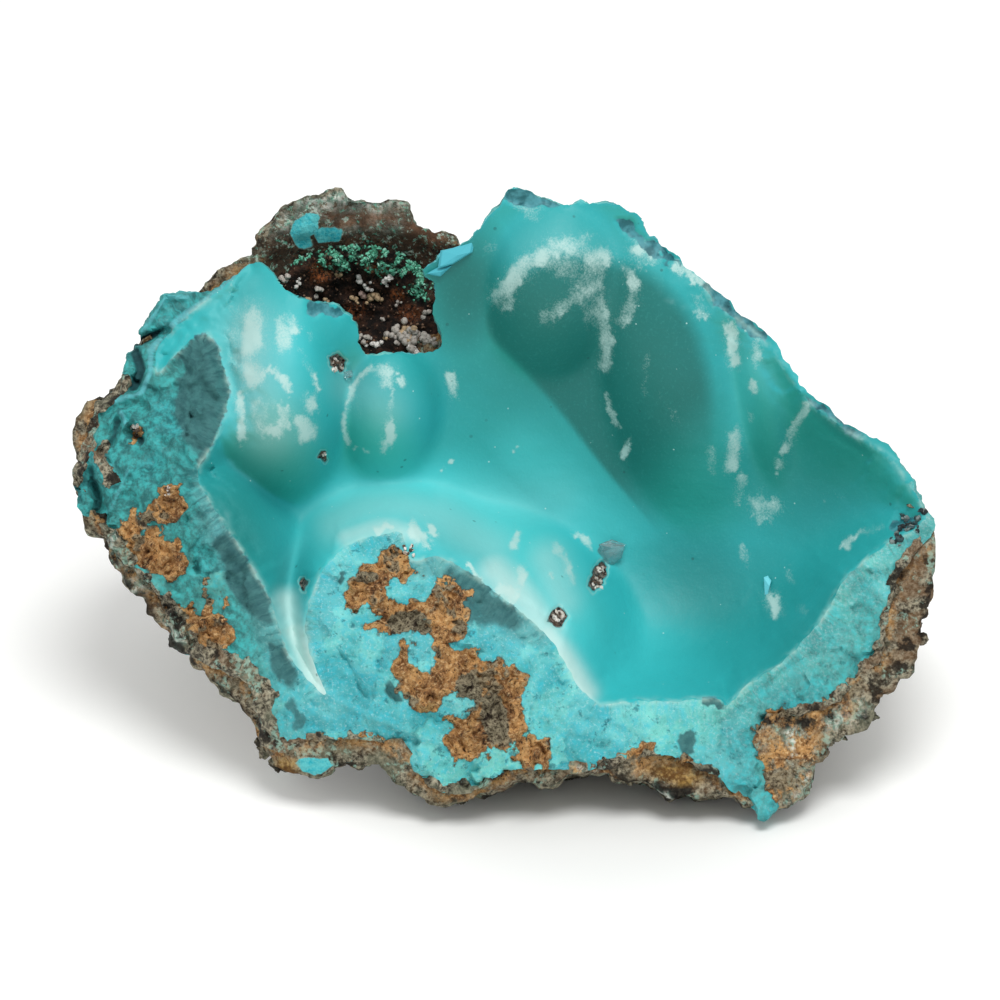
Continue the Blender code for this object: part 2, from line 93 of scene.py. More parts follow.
LINING_EDGE = [
    (-29.4, 27.0), (-31.9, 24.8), (-37.1, 20.5), (-39.7, 17.4), (-39.6, 14.8), (-37.6, 16.8),
    (-35.0, 19.0), (-33.2, 18.6), (-31.7, 14.5), (-31.4, 11.4), (-33.2, 6.4), (-34.9, 2.9),
    (-32.8, -1.2), (-28.9, -7.2), (-26.4, -11.8), (-24.2, -18.0), (-20.2, -22.3), (-21.7, -18.0),
    (-22.3, -13.6), (-20.6, -8.4), (-17.4, -5.2), (-13.3, -4.0), (-11.3, -3.9), (-10.2, -6.9),
    (-7.4, -6.5), (-4.2, -7.9), (0.2, -11.2), (3.2, -13.6), (5.9, -16.2), (8.9, -21.2),
    (11.4, -23.4), (15.6, -23.2), (20.0, -23.2), (24.9, -22.9), (26.2, -23.6), (28.6, -21.2),
    (32.2, -19.0), (36.0, -15.0), (38.0, -12.2), (40.0, -8.9), (43.9, -5.6), (48.8, -2.6),
    (48.7, -0.6), (46.9, 2.2), (44.9, 4.9), (41.6, 7.0), (36.4, 10.8), (33.0, 15.2),
    (30.4, 18.6), (27.6, 20.9), (24.4, 23.4), (24.0, 28.0),
]
# Two points far above the stone, which close the lining's edge into a loop.
LINING_OVER = [(24.0, 70.0), (-29.0, 70.0)]
# The broken face: x, y, z, judged at places round its outline and along the lining's edge.
FACE_DEPTHS = [
    (-49.5, 2.9, -13.0), (-43.0, 16.9, -15.0), (-39.0, 23.6, -16.0), (-28.5, 27.5, -14.0),
    (-34.7, 3.5, -6.5), (-33.0, 16.0, -10.5), (-26.6, -11.6, -3.5), (-39.3, -11.6, -9.0),
    (-20.2, -22.2, -1.5), (-26.6, -28.9, -5.0), (-13.3, -4.0, -6.5), (-5.8, -17.3, 0.0),
    (2.0, -13.0, -3.0), (-5.8, -33.8, -2.0), (11.6, -23.4, -2.5), (11.6, -31.2, -1.5),
    (26.0, -23.6, -3.0), (30.3, -36.9, -2.0), (40.5, -22.0, -4.0), (38.7, -10.9, -4.5),
    (49.9, -3.5, -7.0), (45.9, 5.2, -9.0), (24.6, 24.7, -11.0), (1.8, 36.0, -13.0),
    (-7.3, 17.3, -20.0), (-16.0, 17.1, -19.0),
]
# The hollow's floor curves up from its depth; a slope is x, y, z and its gradients; a mound or a lobe is its
# centre, half-widths, turn, crest, height and gradient.
FLOOR = dict(centre=(14.5, -4.0), turn=-51.0, depth=-25.5, along=0.011, across=0.013, back=0.0015)
SLOPES = [
    (-7.0, 16.0, -17.5, -0.10, 0.38),  # the chute from the gap in the wall
    (17.0, 30.0, -12.5, 0.18, 0.50),  # the wall at the upper right
]
MOUNDS = [
    (-11.6, -16.0, 15.2, 16.8, 0.0, 6.0, 26.0, 0.0),  # the front lobe, whose face is broken off
    (-4.0, -20.0, 17.5, 16.6, 0.0, 2.6, 19.5, 0.0),  # its right flank, down to the floor
]
LOBES = [
    (-25.6, 10.8, 7.6, 11.0, -6.0, -5.4, 14.0, 0.42),  # the left lobe
    (-24.3, 20.5, 7.6, 7.6, 0.0, -7.5, 11.0, 0.25),  # its upper part, under the tip of the wall
    (-18.9, 20.0, 5.2, 5.6, 0.0, -12.5, 8.0, 0.0),  # its shoulder beside the gap in the wall
    (-13.0, 10.2, 5.8, 8.0, -5.0, -13.0, 8.5, 0.4),  # the small lobe between
    (-30.0, -4.6, 4.6, 9.0, 28.0, -9.0, 9.0, 0.2),  # the strip below the left lobe
    (6.2, 24.2, 8.2, 10.4, -10.0, -9.2, 11.0, 0.45),  # the great lobe at the top
    (21.4, 12.0, 9.4, 19.5, 16.0, -14.0, 11.0, 0.50),  # the part of it that hangs to the right
    (30.6, 12.0, 3.2, 11.5, 12.0, -14.0, 9.0, 0.48),  # the rib along its right side
]
LOBE_BLEND = 0.55  # sharpness of the valleys between the lobes, per millimetre
WALL_REACH = 2.2  # the lining reaches its full depth over a few times this distance from its edge
DEEP_END = dict(centre=(19.0, -20.0), half=(15.0, 9.0), reach=3.2)  # where it falls away more gently

# Powdery scuffs on the lining: the points of a stroke, its half-width and its strength.
SCUFFS = [
    ([(-28.9, 21), (-28.7, 17.9)], 1.39, 0.9), ([(-30.3, 20.2), (-29.8, 15.6), (-28.9, 13.9)], 1.85, 0.45),
    ([(-28.9, 17.3), (-28.4, 13.6)], 1.16, 0.75),
    ([(-27.5, 14.9), (-26.1, 15), (-25.1, 14.1), (-24.3, 12.8)], 0.4, 0.8),
    ([(-25.1, 20.6), (-25, 18)], 1.04, 0.7), ([(-24.3, 20.8), (-23.7, 19.7)], 0.58, 0.9),
    ([(-21.8, 19.4), (-21.8, 18.5)], 0.35, 0.5), ([(-23.1, 17.1), (-21.7, 14.8), (-20.8, 12.5)], 0.4, 0.45),
    ([(-21.5, 14.6), (-20.7, 12.5)], 0.25, 0.8), ([(-28, 11), (-27.5, 8.3), (-25.9, 8.1)], 0.92, 0.7),
    ([(-25, 10.6), (-24.9, 8.7)], 0.58, 0.85), ([(-28.6, 11.6), (-25.4, 11)], 0.58, 0.4),
    ([(-30.2, 12), (-29.8, 9.2), (-29.7, 6.9)], 0.52, 0.85), ([(-22, 11.6), (-21.7, 10.6)], 0.69, 0.8),
    ([(-23.1, 9.2), (-22, 7.9), (-22.7, 7.4)], 0.81, 0.8), ([(-31.2, 25), (-31.1, 22.8)], 0.23, 0.45),
    ([(-31.4, 23.1), (-30.9, 21.3)], 0.69, 0.3),
    ([(-14.8, 15.3), (-16.2, 14.1), (-17.3, 12.3), (-18.1, 10.1), (-18.1, 7.9), (-17.6, 6.5)], 0.32, 0.85),
    ([(-17.3, 6.2), (-15.1, 5.8)], 0.23, 0.6), ([(-17.1, 11.6), (-16.6, 8.1)], 1.39, 0.22),
    ([(-14.1, 15), (-12.9, 14.8), (-13.3, 13.6)], 0.81, 0.7), ([(-11.7, 14.1), (-11.4, 13.6)], 0.46, 0.8),
    ([(-12.4, 12.7), (-12.7, 9.8)], 0.4, 0.5), ([(-12.9, 9), (-12.7, 7.4), (-13.4, 6.2)], 0.58, 0.85),
    ([(-5.7, 14.6), (-5.4, 12.3)], 0.58, 0.7), ([(-0.3, 23.6), (0.9, 22.9)], 1.04, 0.65),
    ([(0.3, 24), (2.3, 26.4), (5.2, 28.9), (8.1, 29.4)], 1.16, 0.75),
    ([(8.1, 29.4), (12, 28.2)], 1.27, 0.65), ([(9.9, 29.8), (10.6, 26.6), (11.2, 23.1)], 1.39, 0.5),
    ([(5.4, 21.2), (7.6, 22.9), (10.4, 24.3)], 0.92, 0.6),
    ([(11.6, 23.1), (12, 20.8), (12.5, 18.5)], 0.81, 0.65), ([(12.4, 17.9), (12.1, 15.5)], 0.64, 0.85),
    ([(12.4, 12.1), (12.9, 10.2), (13.9, 8.6)], 0.4, 0.6), ([(14.9, 6.8), (14.4, 5)], 0.4, 0.7),
    ([(6.0, 27.4), (10.2, 26.0)], 1.7, 0.42), ([(9.5, 24.8), (10.8, 20.8)], 1.2, 0.45),
    ([(16.2, 28.9), (17.3, 28.7)], 1.04, 0.9), ([(15.7, 27.5), (17.6, 27.5)], 0.58, 0.6),
    ([(14.7, 26.6), (15.5, 24.9), (15.5, 23.1), (14.1, 20.6)], 0.81, 0.6),
    ([(17.1, 16.9), (16.8, 12.5)], 0.4, 0.4), ([(18.4, 12.5), (19.4, 10.6), (20.7, 9.2)], 0.29, 0.3),
    ([(20.2, 27.2), (22, 26.1), (24.3, 24.9)], 0.58, 0.8), ([(22.7, 23.4), (23.7, 21.4)], 0.69, 0.4),
    ([(22.8, 21.3), (24, 21.3)], 0.46, 0.7), ([(26.6, 20.2), (26.9, 17.9), (27.1, 15.8)], 0.64, 0.9),
    ([(28.2, 21), (28.3, 19.7)], 0.23, 0.8), ([(29.7, 18.5), (29.8, 16.2)], 0.58, 0.7),
    ([(29.2, 13.3), (29.2, 12.9)], 0.46, 0.7), ([(29, 10.4), (29.2, 9.2)], 0.4, 0.45),
    ([(27.3, 7.5), (26.9, 4)], 0.81, 0.75), ([(24.5, 5.8), (24.7, 3.5)], 0.69, 0.45),
    ([(28.1, 2.3), (27.7, 0.2)], 0.69, 0.6), ([(29.7, 0), (30.6, -1.7), (31.8, -0.9)], 1.16, 0.65),
    ([(35.4, 11), (34.1, 8.1), (33.1, 5.8)], 0.58, 0.7), ([(32.5, 4.4), (32.4, 3.7)], 0.46, 0.9),
    ([(37.5, 0.3), (39.9, 0.5)], 0.23, 0.35), ([(39.8, -5.2), (42.4, -3.6), (44.2, -3.1)], 0.4, 0.65),
    ([(28.4, -6), (28.7, -7.5)], 0.69, 0.45), ([(33.5, -8.3), (34.1, -9.6)], 0.58, 0.35),
    ([(31.6, -11.6), (31.9, -12.5)], 0.81, 0.85), ([(34.7, -12.7), (35, -13.2)], 0.69, 0.35),
    ([(-14.3, -3.6), (-13.5, -2.9), (-12.8, -3)], 0.4, 1),
    ([(-10.1, -3.2), (-9.5, -4.4), (-8.3, -5.3)], 0.58, 0.85), ([(-8.1, -2.9), (-7.6, -4)], 0.46, 0.9),
    ([(-3.7, -7.6), (-2.3, -9)], 0.35, 0.9), ([(2.1, -3.7), (1.5, -5.5)], 0.4, 0.8),
    ([(0, -10.2), (1.7, -11.1)], 0.69, 0.95), ([(2.5, -8.1), (2.3, -9.8)], 0.58, 0.8),
    ([(6.5, -5.2), (7.2, -6.7)], 0.58, 0.6), ([(7.5, -6.9), (8.3, -9.2)], 0.46, 0.9),
    ([(5.8, -8.8), (5.9, -9)], 0.35, 0.7), ([(8.6, -3.7), (9.1, -4)], 0.29, 0.9),
    ([(9.7, -4.2), (10.5, -6)], 0.29, 0.9), ([(-6.9, 3.8), (-5.3, 4.6)], 0.12, 0.8),
    ([(1.3, 5.4), (2.3, 6.1)], 0.12, 0.8), ([(2.5, 34), (4.6, 33.3)], 1.27, 0.35),
    ([(-1.2, 29.6), (-0.9, 28.9)], 0.81, 0.35),
]
# Softer pale bloom, partly real and partly a painted highlight on the lobes' crests, in the same terms.
BLOOM_AND_HIGHLIGHT = [
    ([(-20.5, -22.4), (-22.4, -18.3), (-23.8, -15)], 1.1, 1), ([(-23.8, -15), (-24.7, -11.6)], 1.3, 0.75),
    ([(-24.7, -11.6), (-24.3, -6.9), (-21, -2.5)], 1.1, 0.15),
    ([(-19.4, -2.8), (-16, -1.0), (-12.1, -0.6), (-7.0, -1.6)], 2.2, 0.38),
    ([(-17.9, -4.2), (-13.3, -3.0), (-10.0, -4.0)], 1.1, 0.6), ([(-7.0, -1.6), (-1.0, -5.5)], 2.8, 0.38),
    ([(5.5, -15.3), (7.6, -18.5), (9.8, -22.2)], 1.3, 0.85),
    ([(-0.6, -8.1), (2.9, -11.6), (5.5, -15.3)], 1.9, 0.7), ([(5.5, -6.9), (7.3, -11.6)], 2.2, 0.45),
    ([(-17.1, 13.3), (-13.3, 10.4)], 2.8, 0.3), ([(-28.9, 19.7), (-28, 13.9), (-26.6, 8.1)], 3.7, 0.38),
    ([(4.6, 28.9), (11.6, 27.5)], 3.2, 0.2), ([(-33.5, 23.1), (-28.9, 24.9)], 1.6, 0.2),
    ([(-3.5, -0.6), (6.9, 0)], 3.2, 0.2), ([(25.0, 26.0), (30.5, 14.0)], 1.6, 0.12),
]
# Painted light: where the lining is painted a clearer, brighter blue-green, as if more strongly lit, in the
# same terms.
PAINTED_LIGHT_STROKES = [
    ([(-19.4, -2.8), (-14.0, 0.2), (-7.0, 0.4), (-1.0, -2.0), (4.0, -7.0), (8.0, -14.0)], 3.4, 0.8),
    ([(2.6, 5.4), (7.4, 0.6), (12.5, -4.5)], 2.8, 0.42), ([(11.0, -17.0), (16.0, -16.0)], 4.0, 0.25),
    ([(28.5, 15.0), (27.6, 8.0)], 1.4, 0.35),
]
# Brown gossan caught in the broken rosasite, as ovals: x, y, half-width, half-height, turn, strength.
PATCHES = [
    (-39.1, -1.4, 2.7, 1.6, 15, 1), (-41.8, -4.7, 2.8, 2.5, -30, 1), (-39.7, -6.4, 2.4, 2.5, 20, 1),
    (-38, -7.7, 2.1, 1.5, 0, 1), (-37.7, 0.9, 1, 1, 0, 0.9), (-33.2, -12.5, 1.1, 1.9, 0, 1),
    (-37.2, -14.3, 2.8, 2, -20, 1), (-33.5, -15.5, 2.9, 2, -15, 1), (-33.7, -9.7, 0.6, 1, 0, 0.8),
    (-13, -7.9, 3.3, 2, 10, 1), (-16.4, -10.5, 1.9, 2, -20, 1), (-12.5, -12.8, 4.3, 2.5, -10, 1),
    (-6.4, -13.2, 2.9, 3.6, 0, 1), (-6.8, -16.8, 1.1, 1.5, 0, 0.9), (-10.1, -19.1, 2.4, 2.5, -20, 1),
    (-8.6, -21.8, 2.6, 2.4, -20, 1), (-4.2, -19.8, 3.5, 2.6, -15, 1), (0.1, -20.7, 2.3, 2.3, 0, 0.9),
    (-0.4, -24.9, 2.1, 4.1, 10, 1), (-3.9, -26.9, 2.7, 3.1, -10, 1), (1, -25, 1.8, 3.3, 10, 1),
    (4, -29, 2.1, 1.7, 0, 1), (16.4, -29.2, 1.4, 1.5, 0, 1), (20.7, -31.4, 4.1, 1.8, -12, 1),
    (13.8, -31.7, 2.7, 1, 0, 0.8), (33.4, -26.8, 4.3, 2.6, 10, 1), (33.2, -31.7, 2.5, 3.4, -10, 1),
    (38.7, -24.5, 1.9, 1.6, 20, 0.8), (-20.8, -28.7, 3.3, 1, 0, 1), (-14.9, -28.8, 2.7, 1.5, -15, 1),
    (-42.2, 7.8, 0.8, 1.1, 0, 0.9), (-44.2, -9.2, 1, 2.6, -30, 0.9),
]
# Where rosasite shows through those patches, and where they are of grey rock.
PATCH_HOLES = [
    (-10.8, -10.8, 1.7, 1.3, 0, 1), (-9.2, -18.4, 1.6, 1.7, 0, 1), (-15.4, -13.2, 1.3, 0.8, -20, 0.9),
    (-4.4, -24.9, 0.9, 1.1, 20, 0.8), (-40.8, -3.2, 0.8, 0.6, 20, 0.8), (-6.6, -26.8, 1.0, 0.8, 0, 0.8),
]
PATCH_GREY = [
    (-10.2, -14.6, 2.8, 2.0, -15, 0.9), (-3.7, -22.2, 1.8, 2.4, 0, 0.9), (-0.6, -25.0, 1.6, 3.2, 10, 0.9),
    (-15.4, -8.9, 1.6, 0.8, 0, 0.8), (34.6, -25.6, 2.0, 1.2, 0, 0.9),
]
# Crumbly rock that laps over the rosasite's edge, as strokes.
RIND = [
    ([(-46.6, -3.0), (-43.2, -8.0), (-40.4, -11.8), (-38.6, -15.6)], 1.5, 1),
    ([(-38.4, -12.6), (-37.6, -16.2), (-34.8, -18.6), (-30.8, -19.8), (-28.4, -23.0), (-27.2, -27.8)],
     1.7, 1),
    ([(-30.0, -19.2), (-27.4, -22.6)], 1.6, 1),
    ([(-27.0, -28.6), (-22.8, -28.2), (-14.6, -28.2), (-11.2, -30.0)], 0.9, 1),
    ([(-8.4, -32.2), (-5.2, -33.6), (-1.0, -32.6), (3.0, -31.2)], 0.7, 1),
    ([(12.0, -31.0), (16.0, -30.0), (20.0, -30.4), (24.4, -31.8)], 0.9, 1),
    ([(34.0, -25.2), (37.6, -24.4), (41.2, -21.6), (44.2, -18.0), (45.2, -14.0), (46.4, -9.6)], 1.2, 1),
    ([(45.8, -9.0), (48.4, -5.6)], 1.0, 1),
    ([(-49.2, 3.0), (-48.4, 8.0), (-46.4, 11.4), (-44.0, 13.8)], 1.3, 1),
    ([(-45.0, 2.0), (-46.4, 6.0)], 0.8, 0.8),
]
# Raised pale edges of broken plates, and the slots and cracks beside them, which are painted dark as shade,
# as strokes.
RIDGES = [
    ([(-29.5, 26.8), (-31.4, 25), (-34.1, 23.1), (-37.2, 21), (-39.5, 18.7), (-40.5, 17.3)], 0.46, 1),
    ([(-40.5, 17.3), (-40.5, 14.8), (-41.5, 12.5), (-44.2, 11.6), (-45.8, 11.1)], 0.35, 1),
    ([(-36.2, 23.5), (-38.7, 23.6), (-40.5, 21), (-41.6, 19.4)], 0.29, 0.8),
    ([(-43.9, 10.2), (-43, 7.9), (-42.3, 6.9)], 0.35, 0.8),
    ([(-46.7, -2.3), (-44.9, -0.9), (-43, 3.5)], 0.29, 0.6),
    ([(-8.7, 26.4), (-7.2, 27.5), (-6.9, 28.9), (-4.6, 30.3), (-2.3, 31.4)], 0.29, 0.9),
    ([(-39.3, 14.8), (-37.9, 16.6), (-36.5, 19)], 0.29, 0.6),
    ([(-41.6, -2.3), (-40.9, -3.9), (-40.2, -5.5)], 0.29, 0.7),
    ([(-20.2, -22.3), (-15.0, -25.0), (-8.0, -27.6), (-2.5, -29.8)], 0.3, 0.45),
    ([(25.0, -23.6), (26.4, -27.4), (28.4, -31.0)], 0.3, 0.4),
    ([(29.0, -20.6), (34.4, -15.8), (38.6, -11.0)], 0.3, 0.35),
]
SLOTS = [
    ([(-42.3, 18.3), (-40.5, 19), (-38.6, 19.7)], 0.46, 1),
    ([(-42.3, 17.1), (-41.6, 15), (-42.5, 12.9)], 0.58, 0.9),
    ([(-44.2, 9.2), (-44.9, 6.9), (-46.2, 5.5)], 0.46, 0.6), ([(-42.8, 8.1), (-41.6, 6.9)], 0.58, 0.8),
    ([(-47.4, 3.5), (-46.5, 0), (-47.4, -3.5)], 0.46, 0.6), ([(-49.7, 3.5), (-48.6, 0)], 0.46, 0.6),
    ([(-7.9, 27.5), (-6.5, 27.5)], 0.35, 0.7),
    ([(-18.8, -17.0), (-17.3, -19.1), (-16.0, -22.0), (-14.9, -23.1)], 0.22, 0.22),
    ([(-12.9, -21.8), (-12.1, -23.4)], 0.4, 0.35), ([(9.0, -25.0), (14.6, -26.6)], 0.22, 0.16),
    ([(30.4, -21.6), (33.6, -19.0), (36.8, -17.4)], 0.22, 0.16),
]
# Smoother dark-teal chips in the broken rosasite, as ovals.
CHIPS = [
    (-33.9, 12.6, 3.4, 6.6, -8, 1), (-35.0, 17.2, 1.9, 2.4, -20, 1), (-29.4, -9.0, 2.0, 5.4, 28, 0.8),
    (-25.0, -19.0, 1.4, 3.0, 20, 0.6), (-23.6, -24.8, 0.8, 2.2, 10, 0.5),
    (-2.2, -11.4, 5.4, 3.4, -30, 0.55), (21.6, -28.0, 1.0, 1.6, -10, 0.8), (-42.0, 5.0, 4.0, 4.0, 0, 0.15),
    (-12.6, -21.8, 0.7, 1.4, 30, 0.6), (-32.6, 4.6, 2.4, 3.0, 20, 0.8), (-18.2, -8.8, 0.4, 1.0, -20, 0.6),
]
# Where the broken face is greyer along the lining's edge, as ovals.
BAND = [(-2.0, -10.0, 10.0, 6.5, -35, 1), (-29.0, -9.0, 5.0, 12.0, 28, 1), (-34.0, 13.0, 4.0, 8.0, 0, 0.5)]
# Glassy grey chips along the top edge and on the left lobe, as ovals; the third is no chip but a painted
# shadow under a flap of the rim, carved in like the chips.
EDGE_CHIPS_AND_SHADOW = [
    (3.4, 34.9, 3.6, 1.0, -8, 1), (14.6, 31.6, 1.3, 0.7, -30, 0.8), (17.4, 29.4, 4.4, 0.5, -38, 0.7),
    (27.2, 21.6, 4.8, 0.8, -42, 1), (38.6, 9.6, 4.6, 0.5, -37, 0.7), (-20.2, 22.0, 2.3, 0.9, 5, 1),
    (46.6, -2.8, 1.6, 0.8, 35, 0.9), (24.4, -23.3, 1.2, 0.6, -10, 0.9),
]
# Pits in the lining, as ovals.
PITS = [
    (-18.8, 16.0, 0.9, 1.0, 0, 1), (-20.5, 5.2, 0.45, 0.5, 0, 0.9), (6.7, -13.6, 1.05, 1.2, 0, 1),
    (11.4, -8.9, 0.85, 1.9, -22, 1), (-22.7, -9.8, 0.3, 0.8, 8, 1), (-42.2, 7.9, 1.0, 1.1, 0, 1),
]
# The lining's painted shade, a deeper green where it lies in shade: a loop, which gives way between two
# distances down to the right, and some ovals.
PAINTED_SHADE_LOOP = [
    (-2.5, 23.1), (-1.8, 19.1), (2.3, 14.8), (6.9, 9.8), (11.6, 4), (16.2, -1.4), (19.4, -5.5),
    (23.1, -8.6), (26.0, -5.6), (26.6, 3.5), (25.6, 13.9), (23.4, 21.1), (19.4, 26.0), (14.1, 28.6),
    (6.4, 29.4), (1.0, 26.8),
]
PAINTED_SHADE_FADE = (6.0, 17.0)
PAINTED_SHADE_OVALS = [
    (-4.2, 24.6, 5.2, 8.0, 0, 1), (-30.5, -3.0, 5.0, 8.0, 25, 0.8), (-27.5, 4.6, 6.6, 4.6, 10, 0.4),
    (30.0, -13.0, 10.0, 8.0, 35, 0.55), (39.4, 8.2, 6.5, 1.3, -38, 0.75),
    (36.0, 3.0, 11.0, 10.0, -40, 0.55), (1.0, 15.0, 13.0, 11.0, -40, 0.5),
    (25.0, -10.5, 9.0, 6.0, -40, 0.66), (16.0, 16.0, 26.0, 16.0, -40, 0.44),
]
# Voids in the broken rosasite and the rock, carved in and painted black as shade, as strokes; and mint-white
# crusts on the rock.
SHADED_VOIDS = [
    ([(30.8, -25.4), (36.2, -25.6)], 0.9, 1), ([(-44.8, -7.0), (-43.2, -9.4)], 0.9, 0.9),
    ([(-41.8, -11.4), (-40.4, -13.4)], 1.0, 0.9), ([(-38.8, -16.0), (-36.4, -18.8)], 1.1, 0.8),
    ([(-46.8, 1.0), (-46.2, -2.0)], 0.8, 0.8), ([(-33.0, -21.0), (-29.6, -24.6)], 0.9, 0.7),
    ([(13.4, -32.2), (17.0, -33.4), (22.0, -33.4)], 0.7, 0.9), ([(-12.4, -29.6), (-8.8, -32.2)], 0.5, 0.6),
    ([(44.6, -17.6), (46.4, -12.4)], 0.8, 0.5),
]
MINT = [
    ([(-44.0, -8.6), (-41.2, -11.0)], 0.7, 0.8), ([(-40.6, -13.8), (-37.2, -16.0)], 0.7, 0.8),
    ([(-45.6, -5.6), (-44.6, -4.4)], 0.6, 0.7), ([(34.0, -26.8), (33.8, -29.6)], 0.8, 1),
    ([(35.6, -30.4), (34.4, -34.0)], 0.7, 0.8), ([(8.6, -31.6), (12.6, -32.0)], 0.7, 0.9),
    ([(-22.0, 34.6), (-12.4, 34.4)], 1.2, 1), ([(-25.6, 31.0), (-22.4, 33.2)], 0.8, 0.7),
    ([(-17.6, 31.4), (-10.2, 32.2)], 0.9, 0.6), ([(17.6, -33.6), (19.6, -34.2)], 0.8, 0.9),
    ([(38.0, -26.4), (41.6, -23.4)], 0.7, 0.5),
]
# How far the fine relief stands out of the broken face, or goes into it.
FIBRE_HEIGHT = 0.16
STEP_HEIGHT = 0.7
FOLD_HEIGHT = 0.55
FACET_SPACING = (5.5, 5.0)
FACET_STEP = 0.26
FACET_TILT = 0.20
RIDGE_HEIGHT = 0.8
SLOT_DEPTH = 1.9
VOID_DEPTH = 1.2
CHIP_DEPTH = 0.5
PIT_DEPTH = 1.1
PIT_LIP = 0.22


def blob_noise(x, y, size, seed, octaves=1):
    """Smooth noise with lumps of a size in millimetres, and finer lumps added by octaves."""
    total, share = np.zeros(len(x)), 1.0
    for octave in range(octaves):
        total += share * np.array([noise.noise((a / size, b / size, seed + octave)) for a, b in zip(x, y)])
        size, share = size / 2, share / 2
    return total


def ease(value, low, high):
    """0 at low, 1 at high and smooth between."""
    t = np.clip((value - low) / (high - low), 0, 1)
    return t * t * (3 - 2 * t)


def along(points, step, closed):
    """A smooth curve through the points, read at about an even step."""
    p = np.array(points, float)
    if closed:
        p = np.vstack([p[-1:], p, p[:2]])
    else:
        p = np.vstack([2 * p[:1] - p[1:2], p, 2 * p[-1:] - p[-2:-1]])
    out = []
    for a, b, c, d in zip(p, p[1:], p[2:], p[3:]):
        count = max(1, round(np.linalg.norm(c - b) / step))
        for t in np.arange(count) / count:
            out.append(0.5 * (2 * b + (c - a) * t + (2 * a - 5 * b + 4 * c - d) * t**2
                              + (3 * b - a - 3 * c + d) * t**3))
    if not closed:
        out.append(p[-2])
    return np.array(out)


def nearest_on(x, y, line, closed):
    """Distance from each point to a line, and how far along the line the nearest point is."""
    steps = np.linalg.norm(np.diff(line, axis=0, append=line[:1]), axis=1)
    runs = np.concatenate([[0.0], np.cumsum(steps)])
    nearest, where = np.full(len(x), np.inf), np.zeros(len(x))
    points = np.column_stack([x, y])
    closest = np.concatenate([(((line**2).sum(1) - 2 * part @ line.T).argmin(1))
                              for part in np.array_split(points, len(points) // 4000 + 1)])
    for offset in (-1, 0):
        start = closest + offset
        start = start % len(line) if closed else np.clip(start, 0, len(line) - 2)
        a, b = line[start], line[(start + 1) % len(line)]
        t = np.clip(((points - a) * (b - a)).sum(1) / steps[start] ** 2, 0, 1)
        gap = np.linalg.norm(points - a - t[:, None] * (b - a), axis=1)
        closer = gap < nearest
        nearest = np.where(closer, gap, nearest)
        where = np.where(closer, runs[start] + t * steps[start], where)
    return nearest, where


def distance_to(x, y, line, closed):
    """Distance from each point to a line."""
    return nearest_on(x, y, line, closed)[0]


def inside(x, y, loop):
    """Which of the points are inside a loop."""
    hit = np.zeros(len(x), bool)
    for (ax, ay), (bx, by) in zip(loop, np.roll(loop, -1, axis=0)):
        if ay != by:
            crosses = (ay > y) != (by > y)
            hit ^= crosses & (x < (bx - ax) * (y - ay) / (by - ay) + ax)
    return hit


def roughened(line, closed, amount, size, seed):
    """A line with small bays and points along it."""
    if closed:
        tangent = np.roll(line, -1, axis=0) - np.roll(line, 1, axis=0)
    else:
        tangent = np.gradient(line, axis=0)
    tangent = tangent / np.linalg.norm(tangent, axis=1)[:, None]
    push = amount * blob_noise(line[:, 0], line[:, 1], size, seed, 3)
    return line + push[:, None] * np.column_stack([tangent[:, 1], -tangent[:, 0]])


def warped(x, y, amount, size, seeds, octaves=3):
    """Points moved about by smooth noise, so that what is drawn at them gets ragged edges."""
    return [c + amount * blob_noise(x, y, size, seed, octaves) for c, seed in zip((x, y), seeds)]


def spline_sheet(readings):
    """The smoothest sheet through x, y, z readings, as a function of x and y."""
    p = np.array(readings, float)

    def bend(ax, ay, bx, by):
        r2 = (ax[:, None] - bx) ** 2 + (ay[:, None] - by) ** 2
        return 0.5 * r2 * np.log(r2 + 1e-9)

    n = len(p)
    flat = np.column_stack([np.ones(n), p[:, 0], p[:, 1]])
    system = np.zeros((n + 3, n + 3))
    system[:n, :n] = bend(p[:, 0], p[:, 1], p[:, 0], p[:, 1])
    system[:n, n:] = flat
    system[n:, :n] = flat.T
    weights = np.linalg.solve(system, np.append(p[:, 2], np.zeros(3)))

    def sheet(x, y):
        bent = bend(x, y, p[:, 0], p[:, 1]) @ weights[:n]
        return bent + weights[n] + weights[n + 1] * x + weights[n + 2] * y

    return sheet


face_sheet = spline_sheet(FACE_DEPTHS)
crust_loop = along(CRUST_OUTLINE, 0.45, closed=True)
crust_edge = roughened(crust_loop, True, 0.45, 1.6, 2.0)
lining_course = along(LINING_EDGE, 1.5, closed=False)
lining_line = roughened(along(LINING_EDGE, 0.4, closed=False), False, 0.22, 1.2, 5.0)
lining_loop = np.vstack([lining_line, LINING_OVER])


def turned(x, y, centre, turn):
    """Offsets from a centre, along and across a direction."""
    c, s = math.cos(math.radians(turn)), math.sin(math.radians(turn))
    return (x - centre[0]) * c + (y - centre[1]) * s, (y - centre[1]) * c - (x - centre[0]) * s


def dome(x, y, lobe):
    """A rounded lobe: an ellipsoid's cap that runs on as a steep slope past its side."""
    cx, cy, along_half, across_half, turn, crest, height, rise = lobe
    u, v = turned(x, y, (cx, cy), turn)
    rho = np.hypot(u / along_half, v / across_half)
    cap = 0.9
    edge = math.sqrt(1 - cap * cap)
    profile = np.where(rho < cap, np.sqrt(1 - np.minimum(rho, cap) ** 2), edge - (rho - cap) * cap / edge)
    return crest + rise * (y - cy) - height * (1 - profile)


